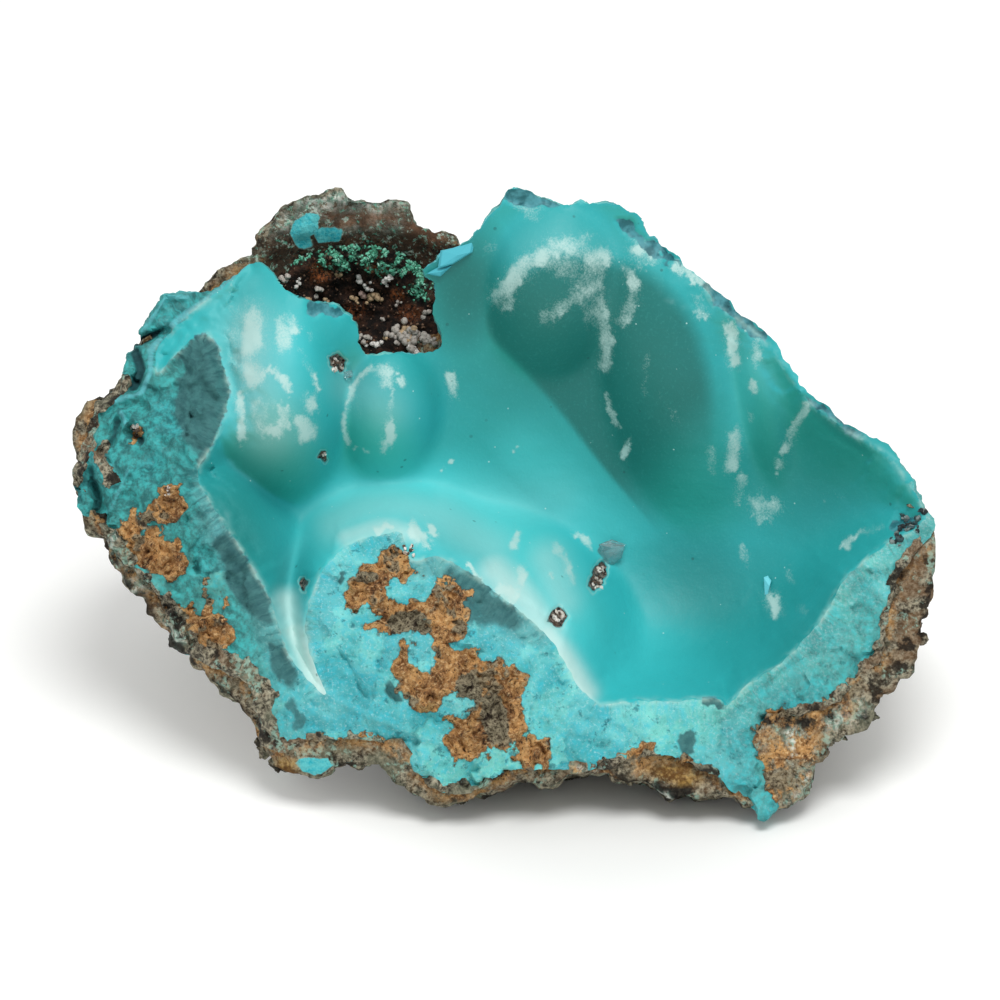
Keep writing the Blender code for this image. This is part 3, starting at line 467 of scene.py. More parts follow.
def lining_depth(x, y):
    """The hollow's smooth wall: its floor and its lobes, blended where they meet."""
    u, v = turned(x, y, FLOOR["centre"], FLOOR["turn"])
    rise = np.where(u > 0, FLOOR["along"], FLOOR["back"]) * u * u
    rise += np.where(v > 0, FLOOR["across"], FLOOR["back"]) * v * v
    total = np.exp(LOBE_BLEND * (FLOOR["depth"] + rise))
    for a, b, c, across, up in SLOPES:
        total += np.exp(LOBE_BLEND * (c + across * (x - a) + up * (y - b)))
    for cx, cy, along_half, across_half, turn, crest, height, rise in MOUNDS:
        u, v = turned(x, y, (cx, cy), turn)
        fall = height * ((u / along_half) ** 2 + (v / across_half) ** 2)
        total += np.exp(LOBE_BLEND * (crest + rise * (y - cy) - fall))
    for lobe in LOBES:
        total += np.exp(LOBE_BLEND * dome(x, y, lobe))
    return np.log(total) / LOBE_BLEND


def soft_distance(x, y, line):
    """A distance from a line that stays smooth where two stretches of it are equally near."""
    pull = np.zeros(len(x))
    for (ax, ay), (bx, by) in zip(line, line[1:]):
        length = math.hypot(bx - ax, by - ay)
        t = np.clip(((x - ax) * (bx - ax) + (y - ay) * (by - ay)) / length**2, 0, 1)
        away = (x - ax - t * (bx - ax)) ** 2 + (y - ay - t * (by - ay)) ** 2
        pull += length / np.maximum(away, 1e-6) ** 2
    return (pull * 2 / math.pi) ** (-1 / 3)


def shares_from(x, y, centre, half):
    """Offsets from a centre, as shares of two half-widths."""
    return (x - centre[0]) / half[0], (y - centre[1]) / half[1]


def lined_share(x, y, gap):
    """How far the lining has fallen from the broken face to its own depth: 0 at its edge, 1 well inside."""
    u, v = shares_from(x, y, DEEP_END["centre"], DEEP_END["half"])
    reach = WALL_REACH + (DEEP_END["reach"] - WALL_REACH) * np.exp(-u * u - v * v)
    wall = 1 - np.exp(-np.minimum(soft_distance(x, y, lining_course), gap) / reach)
    return np.where(inside(x, y, lining_loop), wall, 0)


def ovals(x, y, shapes, soft):
    """How far each point is inside the nearest of some ovals: 1 well inside, 0 outside."""
    most = np.zeros(len(x))
    for cx, cy, half_x, half_y, turn, strength in shapes:
        c, s = math.cos(math.radians(turn)), math.sin(math.radians(turn))
        u = ((x - cx) * c + (y - cy) * s) / half_x
        v = ((y - cy) * c - (x - cx) * s) / half_y
        most = np.maximum(most, strength * ease(1 + soft - np.hypot(u, v), 0, 2 * soft))
    return most


def strokes(x, y, lines, soft):
    """How far each point is inside the nearest of some strokes: 1 along the middle, 0 outside."""
    most = np.zeros(len(x))
    for points, half, strength in lines:
        for (ax, ay), (bx, by) in zip(points, points[1:]):
            dx, dy = bx - ax, by - ay
            t = np.clip(((x - ax) * dx + (y - ay) * dy) / (dx * dx + dy * dy), 0, 1)
            gap = np.hypot(x - ax - t * dx, y - ay - t * dy)
            most = np.maximum(most, strength * ease(half * (1 + soft) - gap, 0, 2 * soft * half))
    return most


def fading_strokes(x, y, lines):
    """Soft strokes that fade out from their middle."""
    most = np.zeros(len(x))
    for points, half, strength in lines:
        gap = distance_to(x, y, along(points, 0.4, False), False)
        most = np.maximum(most, strength * np.exp(-((gap / (1.35 * half)) ** 2)))
    return most


def gossan_patch(x, y):
    """Where brown rock shows in the broken face."""
    ragged = warped(x, y, 1.5, 1.9, (51.0, 57.0))
    return ovals(*ragged, PATCHES, 0.25) * (1 - ovals(*ragged, PATCH_HOLES, 0.3))


def rind_over(x, y):
    """Where the outer rock laps over the broken rosasite."""
    return strokes(*warped(x, y, 1.0, 1.8, (111.0, 113.0)), RIND, 0.25)


def void_at(x, y):
    """Where the rock and the broken rosasite have voids, painted black as shade."""
    return strokes(*warped(x, y, 0.9, 1.5, (141.0, 143.0)), SHADED_VOIDS, 0.4)


def mint_at(x, y):
    """Where the rock has mint-white crusts."""
    return strokes(*warped(x, y, 1.1, 1.3, (145.0, 147.0)), MINT, 0.5)


def edge_chips_and_shadow(x, y):
    """Where the crust's rim is chipped, and where a shadow under a flap of it is painted."""
    return ovals(*warped(x, y, 0.9, 1.8, (151.0, 153.0), 2), EDGE_CHIPS_AND_SHADOW, 0.25)


def pits(x, y, soft):
    """Where the lining is pitted."""
    return ovals(*warped(x, y, 0.5, 0.9, (121.0, 123.0), 2), PITS, soft)


def facet_of(x, y):
    """Which flat break each point is on: its middle, its tilt and its own number from -1 to 1."""
    rng = random.Random(21)
    across, up = FACET_SPACING
    rows = [(i * across, j * up) for i in range(-9, 10) for j in range(-7, 7)]
    middles = np.array([(a + rng.uniform(-2, 2), b + rng.uniform(-2, 2)) for a, b in rows])
    tilts = np.array([[rng.uniform(-1, 1) for _ in range(3)] for _ in rows])
    wx, wy = warped(x, y, 1.2, 3.0, (115.0, 117.0))
    near = np.argmin((wx[:, None] - middles[:, 0]) ** 2 + (wy[:, None] - middles[:, 1]) ** 2, axis=1)
    return middles[near], tilts[near, :2], tilts[near, 2]


def facets(x, y):
    """Flat breaks a few millimetres across, each tilted its own way, that meet in small steps."""
    middle, tilt, lift = facet_of(x, y)
    return lift * FACET_STEP + ((np.column_stack([x, y]) - middle) * tilt).sum(1) * FACET_TILT


def broken_face(x, y):
    """The broken face with its steps, splinters and lumps of brown rock."""
    gap, run = nearest_on(x, y, lining_line, closed=False)
    fibre = np.array([noise.noise((r / 0.9, g / 5.0, 9.0)) for r, g in zip(run, gap)])
    steps = blob_noise(x, y, 5.0, 61.0, 2)
    steps = np.floor(steps * 4) / 4 + ease(steps * 4 % 1, 0.3, 0.7) / 4
    folds = 1 - np.abs(blob_noise(x + 0.6 * y, 0.7 * y - 0.3 * x, 3.4, 65.0, 3)) * 3.2
    relief = FIBRE_HEIGHT * fibre * ease(gap, 0.2, 2.0) * np.exp(-((gap / 3.0) ** 2))
    relief = relief + STEP_HEIGHT * steps + 0.22 * blob_noise(x, y, 1.6, 63.0, 3)
    relief += facets(x, y)
    relief += (0.25 + 0.75 * ease(-x, 26.0, 33.0)) * FOLD_HEIGHT * np.clip(folds, -1, 1)
    patch = gossan_patch(x, y)
    crumb = np.abs(blob_noise(x, y, 1.2, 71.0, 3)) * 2.0 - 0.5
    rind = rind_over(x, y)
    rubble = 1.1 * blob_noise(x, y, 2.2, 73.0, 3) + 0.35
    base = face_sheet(x, y) + 0.5 * blob_noise(x, y, 7.0, 3.0) + 0.25 * blob_noise(x, y, 3.0, 8.0)
    cut = RIDGE_HEIGHT * strokes(x, y, RIDGES, 0.8) - SLOT_DEPTH * strokes(x, y, SLOTS, 0.6)
    cut = cut - VOID_DEPTH * void_at(x, y)
    return base + relief * ease(gap, 0.0, 1.5) + patch * crumb + rind * rubble + cut


def crust_front(x, y):
    """The whole front: the broken face, the lining behind its edge, the rim's chips and the pits."""
    gap = distance_to(x, y, lining_line, closed=False)
    wall = lined_share(x, y, gap)
    ripple = 0.10 * blob_noise(x, y, 5.0, 81.0) + 0.03 * blob_noise(x, y, 1.4, 83.0)
    front = broken_face(x, y) * (1 - wall) + (lining_depth(x, y) + ripple) * wall
    front -= CHIP_DEPTH * edge_chips_and_shadow(x, y) * (1 + 0.8 * blob_noise(x, y, 1.4, 91.0))
    pit, lip = pits(x, y, 0.3), ovals(x, y, PITS, 0.8)
    return front - PIT_DEPTH * pit + PIT_LIP * lip * (1 - pit)


def rounded_back(x, y, loop, thick, reach):
    """A back that curves away from a loop to its full thickness, over the reach."""
    part = np.clip(1 - distance_to(x, y, loop, closed=True) / reach, 0, 1)
    return -thick * np.sqrt(1 - part * part)


def level_at(height, y):
    """The z in the bed of a plane this far above the floor."""
    lean = math.radians(FACE_LEAN)
    return (height - BED_HEIGHT - math.cos(lean) * y) / math.sin(lean)


def smooth_face(x, y):
    """The crust's front without its fine relief, for setting its back."""
    wall = lined_share(x, y, distance_to(x, y, lining_course, closed=False))
    return face_sheet(x, y) * (1 - wall) + lining_depth(x, y) * wall


def crust_back(x, y):
    """The crust's back, clear of the floor and at least the wall's thickness behind the front."""
    back = np.maximum(rounded_back(x, y, crust_loop, CRUST_THICK, CRUST_ROUND), level_at(CRUST_UP, y))
    return np.minimum(back, smooth_face(x, y) - CRUST_WALL)


def lattice(loop, grain, keep_off):
    """Points of a triangular lattice inside a loop, clear of the given lines."""
    low, high = loop.min(0), loop.max(0)
    rows = np.arange(low[1], high[1], grain * math.sqrt(0.75))
    x, y = [], []
    for i, level in enumerate(rows):
        across = np.arange(low[0] + grain * 0.5 * (i % 2), high[0], grain)
        x.append(across)
        y.append(np.full(len(across), level))
    x, y = np.concatenate(x), np.concatenate(y)
    keep = inside(x, y, loop)
    for line, closed in keep_off:
        keep &= distance_to(x, y, line, closed) > grain * 0.55
    return np.column_stack([x[keep], y[keep]])


def sheet_of(loop, grain, break_line=None):
    """Triangles over the inside of a loop: their points, the faces, and the loop's own points among them."""
    lines = [(loop, True)] + ([(break_line, False)] if break_line is not None else [])
    points = [loop] + ([break_line] if break_line is not None else []) + [lattice(loop, grain, lines)]
    edges = []
    if break_line is not None:
        edges = [(len(loop) + i, len(loop) + i + 1) for i in range(len(break_line) - 1)]
    flat = [Vector(p) for p in np.vstack(points)]
    flat, _, faces, origins, _, _ = delaunay_2d_cdt(flat, edges, [list(range(len(loop)))], 1, 1e-5)
    rim = {source: i for i, sources in enumerate(origins) for source in sources if source < len(loop)}
    return np.array(flat), faces, [rim[i] for i in range(len(loop))]


def stone(loop, front_grain, back_grain, front, back, break_line=None):
    """A closed stone in the bed, as a bmesh, with a layer that is 0 on its front and 1 on its back."""
    bm = bmesh.new()
    side = bm.verts.layers.float.new("side")
    rims = []
    for depth, grain, line, value in ((front, front_grain, break_line, 0.0), (back, back_grain, None, 1.0)):
        flat, faces, rim = sheet_of(loop, grain, line)
        z = depth(flat[:, 0], flat[:, 1])
        verts = [bm.verts.new((a, b, c)) for (a, b), c in zip(flat, z)]
        for vert in verts:
            vert[side] = value
        for face in faces:
            bm.faces.new([verts[i] for i in (face if value == 0 else reversed(face))])
        rims.append([verts[i] for i in rim])
    for i in range(len(loop)):
        bm.faces.new([rims[0][i - 1], rims[1][i - 1], rims[1][i], rims[0][i]])
    bmesh.ops.recalc_face_normals(bm, faces=bm.faces)
    return bm, side


def refine(bm, side, longest, back, hidden=None):
    """Split the long edges of a stone's back and wall, and set the new points of the back on its surface."""
    bmesh.ops.triangulate(bm, faces=[f for f in bm.faces if len(f.verts) > 3])
    for _ in range(6):
        edges = [e for e in bm.edges if max(v[side] for v in e.verts) > 0 and e.calc_length() > longest]
        if edges and hidden:
            middle = np.array([(e.verts[0].co + e.verts[1].co) / 2 for e in edges])
            edges = [e for e, out in zip(edges, ~hidden(middle[:, 0], middle[:, 1])) if out]
        if not edges:
            break
        known = len(bm.verts)
        bmesh.ops.subdivide_edges(bm, edges=edges, cuts=1)
        bmesh.ops.triangulate(bm, faces=[f for f in bm.faces if len(f.verts) > 3])
        bm.verts.ensure_lookup_table()
        verts = [v for v in bm.verts[known:] if v[side] > 0.999]
        co = np.array([v.co for v in verts])
        for vert, z in zip(verts, back(co[:, 0], co[:, 1]) if verts else ()):
            vert.co.z = z


def push(bm, verts, amounts):
    """Move points along their normals."""
    bm.normal_update()
    moves = [v.normal * a for v, a in zip(verts, amounts)]
    for vert, move in zip(verts, moves):
        vert.co += move


def rock_noise(co, size, seed):
    """Rough noise in space, with lumps of the given size, from about -1 to 1."""
    return np.array([noise.fractal((x / size, y / size, z / size + seed), 0.8, 2.1, 4) for x, y, z in co])


LEAN = Matrix.Rotation(math.radians(90 - FACE_LEAN), 4, "X")
STAND = Matrix.Translation(BED_ORIGIN) @ LEAN @ Matrix.Scale(0.001, 4)


def stand_up(bm, name, values):
    """Turn a bmesh drawn in the bed into an object in its place, with a value per point for its materials.

    Its outermost crumbs are pressed back to the specimen's own size.
    """
    mesh = bpy.data.meshes.new(name)
    bm.to_mesh(mesh)
    bm.free()
    if "side" in mesh.attributes:
        mesh.attributes.remove(mesh.attributes["side"])
    for key, value in values.items():
        layer = mesh.attributes.new(key, "FLOAT" if value.ndim == 1 else "FLOAT_VECTOR", "POINT")
        layer.data.foreach_set("value" if value.ndim == 1 else "vector", value.astype(np.float32).ravel())
    mesh.transform(STAND)
    spots = np.empty(len(mesh.vertices) * 3, np.float32)
    mesh.vertices.foreach_get("co", spots)
    spots = np.clip(spots.reshape(-1, 3), np.array(cad_box[0]), np.array(cad_box[1]))
    mesh.vertices.foreach_set("co", spots.astype(np.float32).ravel())
    mesh.shade_smooth()
    made = bpy.data.objects.new(name, mesh)
    bpy.context.scene.collection.objects.link(made)
    return made


def rgb(*screen):
    """A colour given as usual screen values, for a shader."""
    return *(v / 255 / 12.92 if v < 11 else ((v / 255 + 0.055) / 1.055) ** 2.4 for v in screen), 1.0


class Wire:
    """A node's output, wrapped so that shader maths reads as plain maths."""

    def __init__(self, paint, socket):
        self.paint, self.socket = paint, socket

    def math(self, operation, *others):
        return self.paint.node("ShaderNodeMath", {"operation": operation}, dict(enumerate((self, *others))))

    def __add__(self, other):
        return self.math("ADD", other)

    def __sub__(self, other):
        return self.math("SUBTRACT", other)

    def __rsub__(self, other):
        return self.math("MULTIPLY_ADD", -1.0, other)

    def __mul__(self, other):
        return self.math("MULTIPLY", other)

    __radd__, __rmul__ = __add__, __mul__

    def most(self, other):
        return self.math("MAXIMUM", other)

    def ease(self, low, high):
        """0 at low, 1 at high and smooth between."""
        span = {"Value": self, "From Min": low, "From Max": high}
        return self.paint.node("ShaderNodeMapRange", {"interpolation_type": "SMOOTHSTEP"}, span, "Result")


class Paint:
    """A procedural material: textures read in millimetres, colours mixed in layers."""

    def __init__(self, name, roughness, specular=0.5):
        self.material = bpy.data.materials.new(name)
        self.material.use_nodes = True
        self.tree = self.material.node_tree
        self.shader = self.tree.nodes["Principled BSDF"]
        self.feed("Roughness", roughness)
        self.feed("Specular IOR Level", specular)
        self.place = self.node("ShaderNodeTexCoord", {}, {}, "Object")

    def connect(self, socket, value):
        """Give a socket a value, or a link where the value is a wire."""
        if isinstance(value, Wire):
            self.tree.links.new(value.socket, socket)
        else:
            socket.default_value = value

    def feed(self, name, value):
        """Give one of the shader's own sockets a value or a link."""
        self.connect(self.shader.inputs[name], value)

    def node(self, kind, settings, sockets, output=0):
        """A node of a kind, its settings set first and then its sockets, by name or number."""
        made = self.tree.nodes.new(kind)
        for name, value in settings.items():
            setattr(made, name, value)
        for name, value in sockets.items():
            self.connect(made.inputs[name], value)
        return Wire(self, made.outputs[output])

    def value(self, name, output="Fac"):
        """A value that the mesh holds for each of its points."""
        return self.node("ShaderNodeAttribute", {"attribute_name": name}, {}, output)

    def noise(self, size, detail=4.0, roughness=0.55, place=None, shift=0.0, unit=1000.0):
        """Noise of about 0.3 to 0.7, with lumps of a size in millimetres."""
        points = {0: place or self.place, 1: (shift, shift * 0.7, -shift)}
        moved = self.node("ShaderNodeVectorMath", {"operation": "ADD"}, points)
        looks = {"Vector": moved, "Scale": unit / size, "Detail": detail, "Roughness": roughness}
        return self.node("ShaderNodeTexNoise", {}, looks, "Fac")

    def cells(self, size):
        """Distance from the nearest of some scattered points, about a size apart in millimetres."""
        looks = {"Vector": self.place, "Scale": 1000.0 / size}
        return self.node("ShaderNodeTexVoronoi", {"feature": "F1"}, looks, "Distance")

    def mix(self, share, first, second):
        """From the first colour at 0 to the second at 1; a Mix node's colours are its 6 and 7."""
        return self.node("ShaderNodeMix", {"data_type": "RGBA"}, {0: share, 6: first, 7: second}, 2)

    def bump(self, height, depth):
        """Relief from a height of 0 to 1 that stands for a depth in millimetres."""
        self.feed("Normal", self.node("ShaderNodeBump", {}, {"Distance": depth / 1000, "Height": height}))


def lining_paint():
    """The satin lining: blue-green, painted greener under the lobes and darker green where it is in shade,
    with painted light, pale bloom partly painted as highlight, scuffs, glassy chips, a painted shadow under
    the rim's flap and small pits.
    """
    paint = Paint("lining", 0.48, 0.35)
    broad = paint.noise(16, 2)
    fine = paint.noise(0.35, 3, 0.6)
    colour = paint.mix(broad.ease(0.35, 0.65), rgb(42, 168, 171), rgb(46, 178, 183))
    # Painted shade: greener where the lining faces down or to the left, under the lobes.
    colour = paint.mix(paint.value("under").ease(0.05, 0.75) * 0.9, colour, rgb(50, 170, 154))
    # Painted shade: the lining a darker green in the loop and the ovals, where it lies in shade.
    colour = paint.mix(paint.value("painted_deep_shade") * 0.88, colour, rgb(20, 99, 92))
    # Painted light: a brighter blue-green where the lining is more strongly lit.
    colour = paint.mix(paint.value("painted_light") * 0.8, colour, rgb(84, 214, 216))
    colour = paint.mix(fine.ease(0.50, 0.80) * 0.12, colour, rgb(90, 190, 184))
    grain = paint.noise(0.24, 4, 0.75)
    # Pale bloom, partly a painted highlight on the lobes' crests.
    bloom_and_highlight = paint.value("bloom_and_highlight")
    colour = paint.mix(bloom_and_highlight.ease(0.0, 1.15) * 0.95, colour, rgb(196, 222, 216))
    scuff = (paint.value("scuff") + (grain - 0.5) * 0.9).ease(0.20, 0.85)
    colour = paint.mix(scuff * 0.78, colour, rgb(188, 216, 210))
    specks = paint.cells(2.6).ease(0.10, 0.06) * paint.noise(4, 1, shift=3.0).ease(0.5, 0.62)
    colour = paint.mix(specks * 0.5, colour, rgb(21, 74, 71))
    lint = paint.cells(2.2).ease(0.055, 0.035) * paint.noise(5, 1, shift=13.0).ease(0.45, 0.55)
    colour = paint.mix(lint * 0.6, colour, rgb(190, 225, 220))
    # Glassy chips, and a painted shadow under a flap of the rim.
    chip_and_shadow = paint.value("chip_and_shadow") + (paint.noise(0.9, 3, 0.6, shift=5.0) - 0.5) * 0.5
    glassy = paint.noise(1.6, 3, 0.6, shift=6.0).ease(0.36, 0.66)
    chipped = paint.mix(glassy, rgb(30, 88, 98), rgb(78, 146, 156))
    colour = paint.mix(chip_and_shadow.ease(0.3, 0.6) * 0.9, colour, chipped)
    pit = paint.value("pit")
    crusty = paint.noise(0.5, 3, 0.7, shift=8.0).ease(0.44, 0.58)
    crusted = paint.mix(crusty, rgb(30, 20, 16), rgb(120, 108, 98))
    colour = paint.mix(pit.ease(0.35, 0.7), colour, crusted)
    rim = paint.value("rim") * paint.noise(2.2, 3).ease(0.40, 0.62) * 0.45
    lip = pit.ease(0.02, 0.2) * (1 - pit.ease(0.2, 0.4)) * 0.35
    colour = paint.mix(rim.most(lip), colour, rgb(170, 206, 196))
    paint.feed("Base Color", colour)
    paint.feed("Roughness", 0.42 + 0.3 * scuff.most(bloom_and_highlight) + 0.16 * fine)
    paint.bump(fine * 0.5 + paint.noise(1.3, 2) * 0.9 + scuff * 0.3, 0.05)
    return paint.material


def gossan_layers(paint):
    """Colour and height of the grey-brown rock: olive and brown, with painted shade in its hollows and voids,
    and pale green dust.
    """
    lumps = paint.noise(2.6, 6, 0.65)
    grit = paint.noise(0.55, 5, 0.7, shift=2.0)
    kinds = paint.noise(5.5, 3, 0.6, shift=5.0)
    colour = paint.mix(grit.ease(0.38, 0.62), rgb(66, 60, 48), rgb(176, 168, 144))
    colour = paint.mix(kinds.ease(0.54, 0.64) * 0.6, colour, rgb(126, 94, 64))
    colour = paint.mix(kinds.ease(0.47, 0.38) * 0.6, colour, rgb(108, 112, 92))
    colour = paint.mix(grit.ease(0.60, 0.70) * 0.6, colour, rgb(204, 194, 168))
    # Painted shade: near-black in the hollows of the relief.
    colour = paint.mix(lumps.ease(0.49, 0.40) * 0.92, colour, rgb(30, 25, 19))
    dust = paint.noise(3.0, 5, 0.7, shift=12.0).ease(0.52, 0.60)
    dust = dust * paint.noise(0.7, 3, shift=6.0).ease(0.45, 0.58)
    colour = paint.mix(dust * 0.8, colour, rgb(160, 196, 178))
    mint = paint.value("mint") * paint.noise(0.9, 4, 0.7, shift=14.0).ease(0.42, 0.50)
    minty = paint.mix(grit.ease(0.4, 0.6), rgb(150, 190, 172), rgb(232, 236, 226))
    colour = paint.mix(mint, colour, minty)
    # Painted shade: black in the voids.
    colour = paint.mix(paint.value("void_shade").ease(0.3, 0.8) * 0.9, colour, rgb(22, 17, 13))
    return colour, lumps * 0.8 + grit * 0.6


def limonite_layers(paint, greyed=None):
    """Colour and height of the golden-brown granular limonite, with grey-brown rock in the middle of it,
    painted highlights on its grains and painted shade in its crevices.
    """
    lumps = paint.noise(2.2, 5, 0.65, shift=21.0)
    grit = paint.noise(0.42, 4, 0.7, shift=22.0)
    kinds = paint.noise(4.6, 3, 0.55, shift=25.0)
    colour = paint.mix(lumps.ease(0.38, 0.62), rgb(134, 92, 54), rgb(208, 158, 98))
    # Painted highlight on the grains.
    colour = paint.mix(grit.ease(0.52, 0.64) * 0.85, colour, rgb(228, 194, 142))
    grey = paint.mix(grit.ease(0.38, 0.62), rgb(84, 76, 58), rgb(158, 148, 122))
    share = kinds.ease(0.55, 0.60) * 0.9
    colour = paint.mix(share if greyed is None else share.most(greyed), colour, grey)
    # Painted shade in the crevices.
    colour = paint.mix(grit.ease(0.46, 0.36) * 0.9, colour, rgb(46, 30, 18))
    colour = paint.mix(lumps.ease(0.40, 0.34) * 0.85, colour, rgb(40, 28, 20))
    return colour, lumps * 0.6 + grit * 0.8


def broken_paint():
    """The broken rosasite: granular and fibrous, greyer along the lining, with brown limonite in it, painted
    shade on its sides, back and slots, and painted sparkle on its pale grains.
    """
    paint = Paint("broken_rosasite", 0.70, 0.3)
    kind = paint.noise(1.6, 4, 0.6, shift=27.0)
    near = paint.value("near")
    fibre = paint.noise(1.0, 4, 0.6, place=paint.value("fibre", "Vector"), unit=1.0) * near
    fibre = fibre + paint.noise(0.9, 5, 0.65, shift=61.0) * (1 - near)
    lumps = paint.noise(4.5, 5, 0.6)
    grain = paint.noise(0.32, 4, 0.75)
    colour = paint.mix(lumps.ease(0.36, 0.64), rgb(68, 168, 172), rgb(116, 204, 202))
    greener = paint.noise(11, 3, 0.55, shift=15.0).ease(0.50, 0.62)
    colour = paint.mix(greener * 0.55, colour, rgb(117, 205, 189))
    plate = paint.value("facet")
    colour = paint.mix(plate.ease(0.1, 1.0) * 0.5, colour, rgb(122, 208, 198))
    colour = paint.mix(plate.ease(-0.1, -1.0) * 0.5, colour, rgb(48, 146, 160))
    colour = paint.mix(fibre.ease(0.44, 0.66) * 0.55, colour, rgb(45, 184, 202))
    # Pale grains with painted sparkle on them.
    colour = paint.mix(grain.ease(0.50, 0.74) * 0.5, colour, rgb(186, 221, 221))
    colour = paint.mix(fibre.ease(0.44, 0.30) * 0.6, colour, rgb(31, 117, 122))
    pores = paint.noise(1.6, 5, 0.7, shift=4.0).ease(0.42, 0.34)
    colour = paint.mix(pores * 0.7, colour, rgb(29, 103, 111))
    # Painted shade: the broken face darker at its left and right sides and on the back.
    dim = paint.value("dim") * paint.noise(6.0, 3, 0.6, shift=17.0).ease(0.15, 0.5)
    dimmed = paint.mix(fibre.ease(0.38, 0.66), rgb(23, 93, 93), rgb(58, 168, 165))
    colour = paint.mix(dim * 0.85, colour, dimmed)
    band = paint.value("band") * paint.noise(3.0, 4, 0.6, shift=19.0).ease(0.28, 0.50)
    greyed = paint.mix(fibre.ease(0.36, 0.66), rgb(58, 116, 120), rgb(98, 152, 150))
    greyed = paint.mix(grain.ease(0.5, 0.7) * 0.4, greyed, rgb(136, 178, 172))
    colour = paint.mix(band.ease(0.1, 0.8) * 0.6, colour, greyed)
    pale = paint.value("pale") * paint.noise(3.0, 4, 0.6, shift=20.0).ease(0.30, 0.52)
    frosted = paint.mix(grain.ease(0.4, 0.7), rgb(87, 181, 170), rgb(186, 220, 218))
    colour = paint.mix(pale * 0.3, colour, frosted)
    ridge_and_slot_shade = paint.value("ridge_and_slot_shade")
    colour = paint.mix(ridge_and_slot_shade.ease(0.3, 0.9) * 0.5, colour, rgb(104, 190, 200))
    # Painted shade: the slots and cracks dark.
    colour = paint.mix(ridge_and_slot_shade.ease(-0.2, -0.8) * 0.85, colour, rgb(14, 44, 52))
    chip_and_shadow = paint.value("chip_and_shadow") * paint.noise(2.0, 3).ease(0.15, 0.4)
    chipped = paint.mix(fibre.ease(0.35, 0.65), rgb(40, 88, 91), rgb(60, 110, 110))
    colour = paint.mix(chip_and_shadow.ease(0.15, 0.6) * 0.92, colour, chipped)
    rim = paint.value("rim") * paint.noise(2.2, 3).ease(0.40, 0.62)
    colour = paint.mix(rim * 0.5, colour, rgb(178, 212, 200))
    brown, relief = limonite_layers(paint, (paint.value("grey") + (kind - 0.5) * 1.6).ease(0.45, 0.65))
    ragged = paint.value("patch") + (paint.noise(0.8, 5, 0.75, shift=7.0) - 0.5) * 1.6
    patch = ragged.ease(0.40, 0.50)
    colour = paint.mix(ragged.ease(0.28, 0.40) * (1 - patch) * 0.5, colour, rgb(66, 63, 50))
    colour = paint.mix(patch, colour, brown)
    rock, rubble = gossan_layers(paint)
    rind = (paint.value("rind") + (paint.noise(0.9, 4, 0.7, shift=29.0) - 0.5) * 1.1).ease(0.42, 0.50)
    paint.feed("Base Color", paint.mix(rind, colour, rock))
    loose = patch.most(rind)
    splintered = (grain * 0.4 + fibre * 0.8 + lumps * 0.6) * (1 - loose)
    paint.bump(splintered + relief.most(rubble) * loose * 2.6, 0.26)
    return paint.material


def scuffed(x, y):
    """How scuffed the lining is: streaked strokes with a wider, fainter one round each."""
    streak = 0.7 * blob_noise(x, y * 0.25, 0.4, 103.0, 2) + 0.5 * blob_noise(x, y, 1.6, 101.0, 3)
    scuff = strokes(x + 0.45 * blob_noise(x, y, 1.4, 107.0, 3), y + streak, SCUFFS, 0.6)
    scuff *= 0.85 + 0.5 * blob_noise(x, y, 2.2, 109.0, 2)
    wider = [(points, half * 1.9, strength * 0.42) for points, half, strength in SCUFFS]
    return np.maximum(scuff, strokes(x, y + streak, wider, 0.9))


def painted_shade_loop(x, y):
    """How far each point is inside the loop of painted shade, a deeper green, which has a sharper edge at its
    lower left.
    """
    line = along(PAINTED_SHADE_LOOP, 1.0, True)
    shaded = distance_to(x, y, line, True) * np.where(inside(x, y, line), 1, -1)
    lower_left = ease(x + y, 26.0, 14.0)
    shaded = ease(shaded / (0.42 + 2.4 * (1 - lower_left)), -0.5, 1.0)
    return shaded * (1 - 0.75 * ease((x - y) * 0.7, *PAINTED_SHADE_FADE))


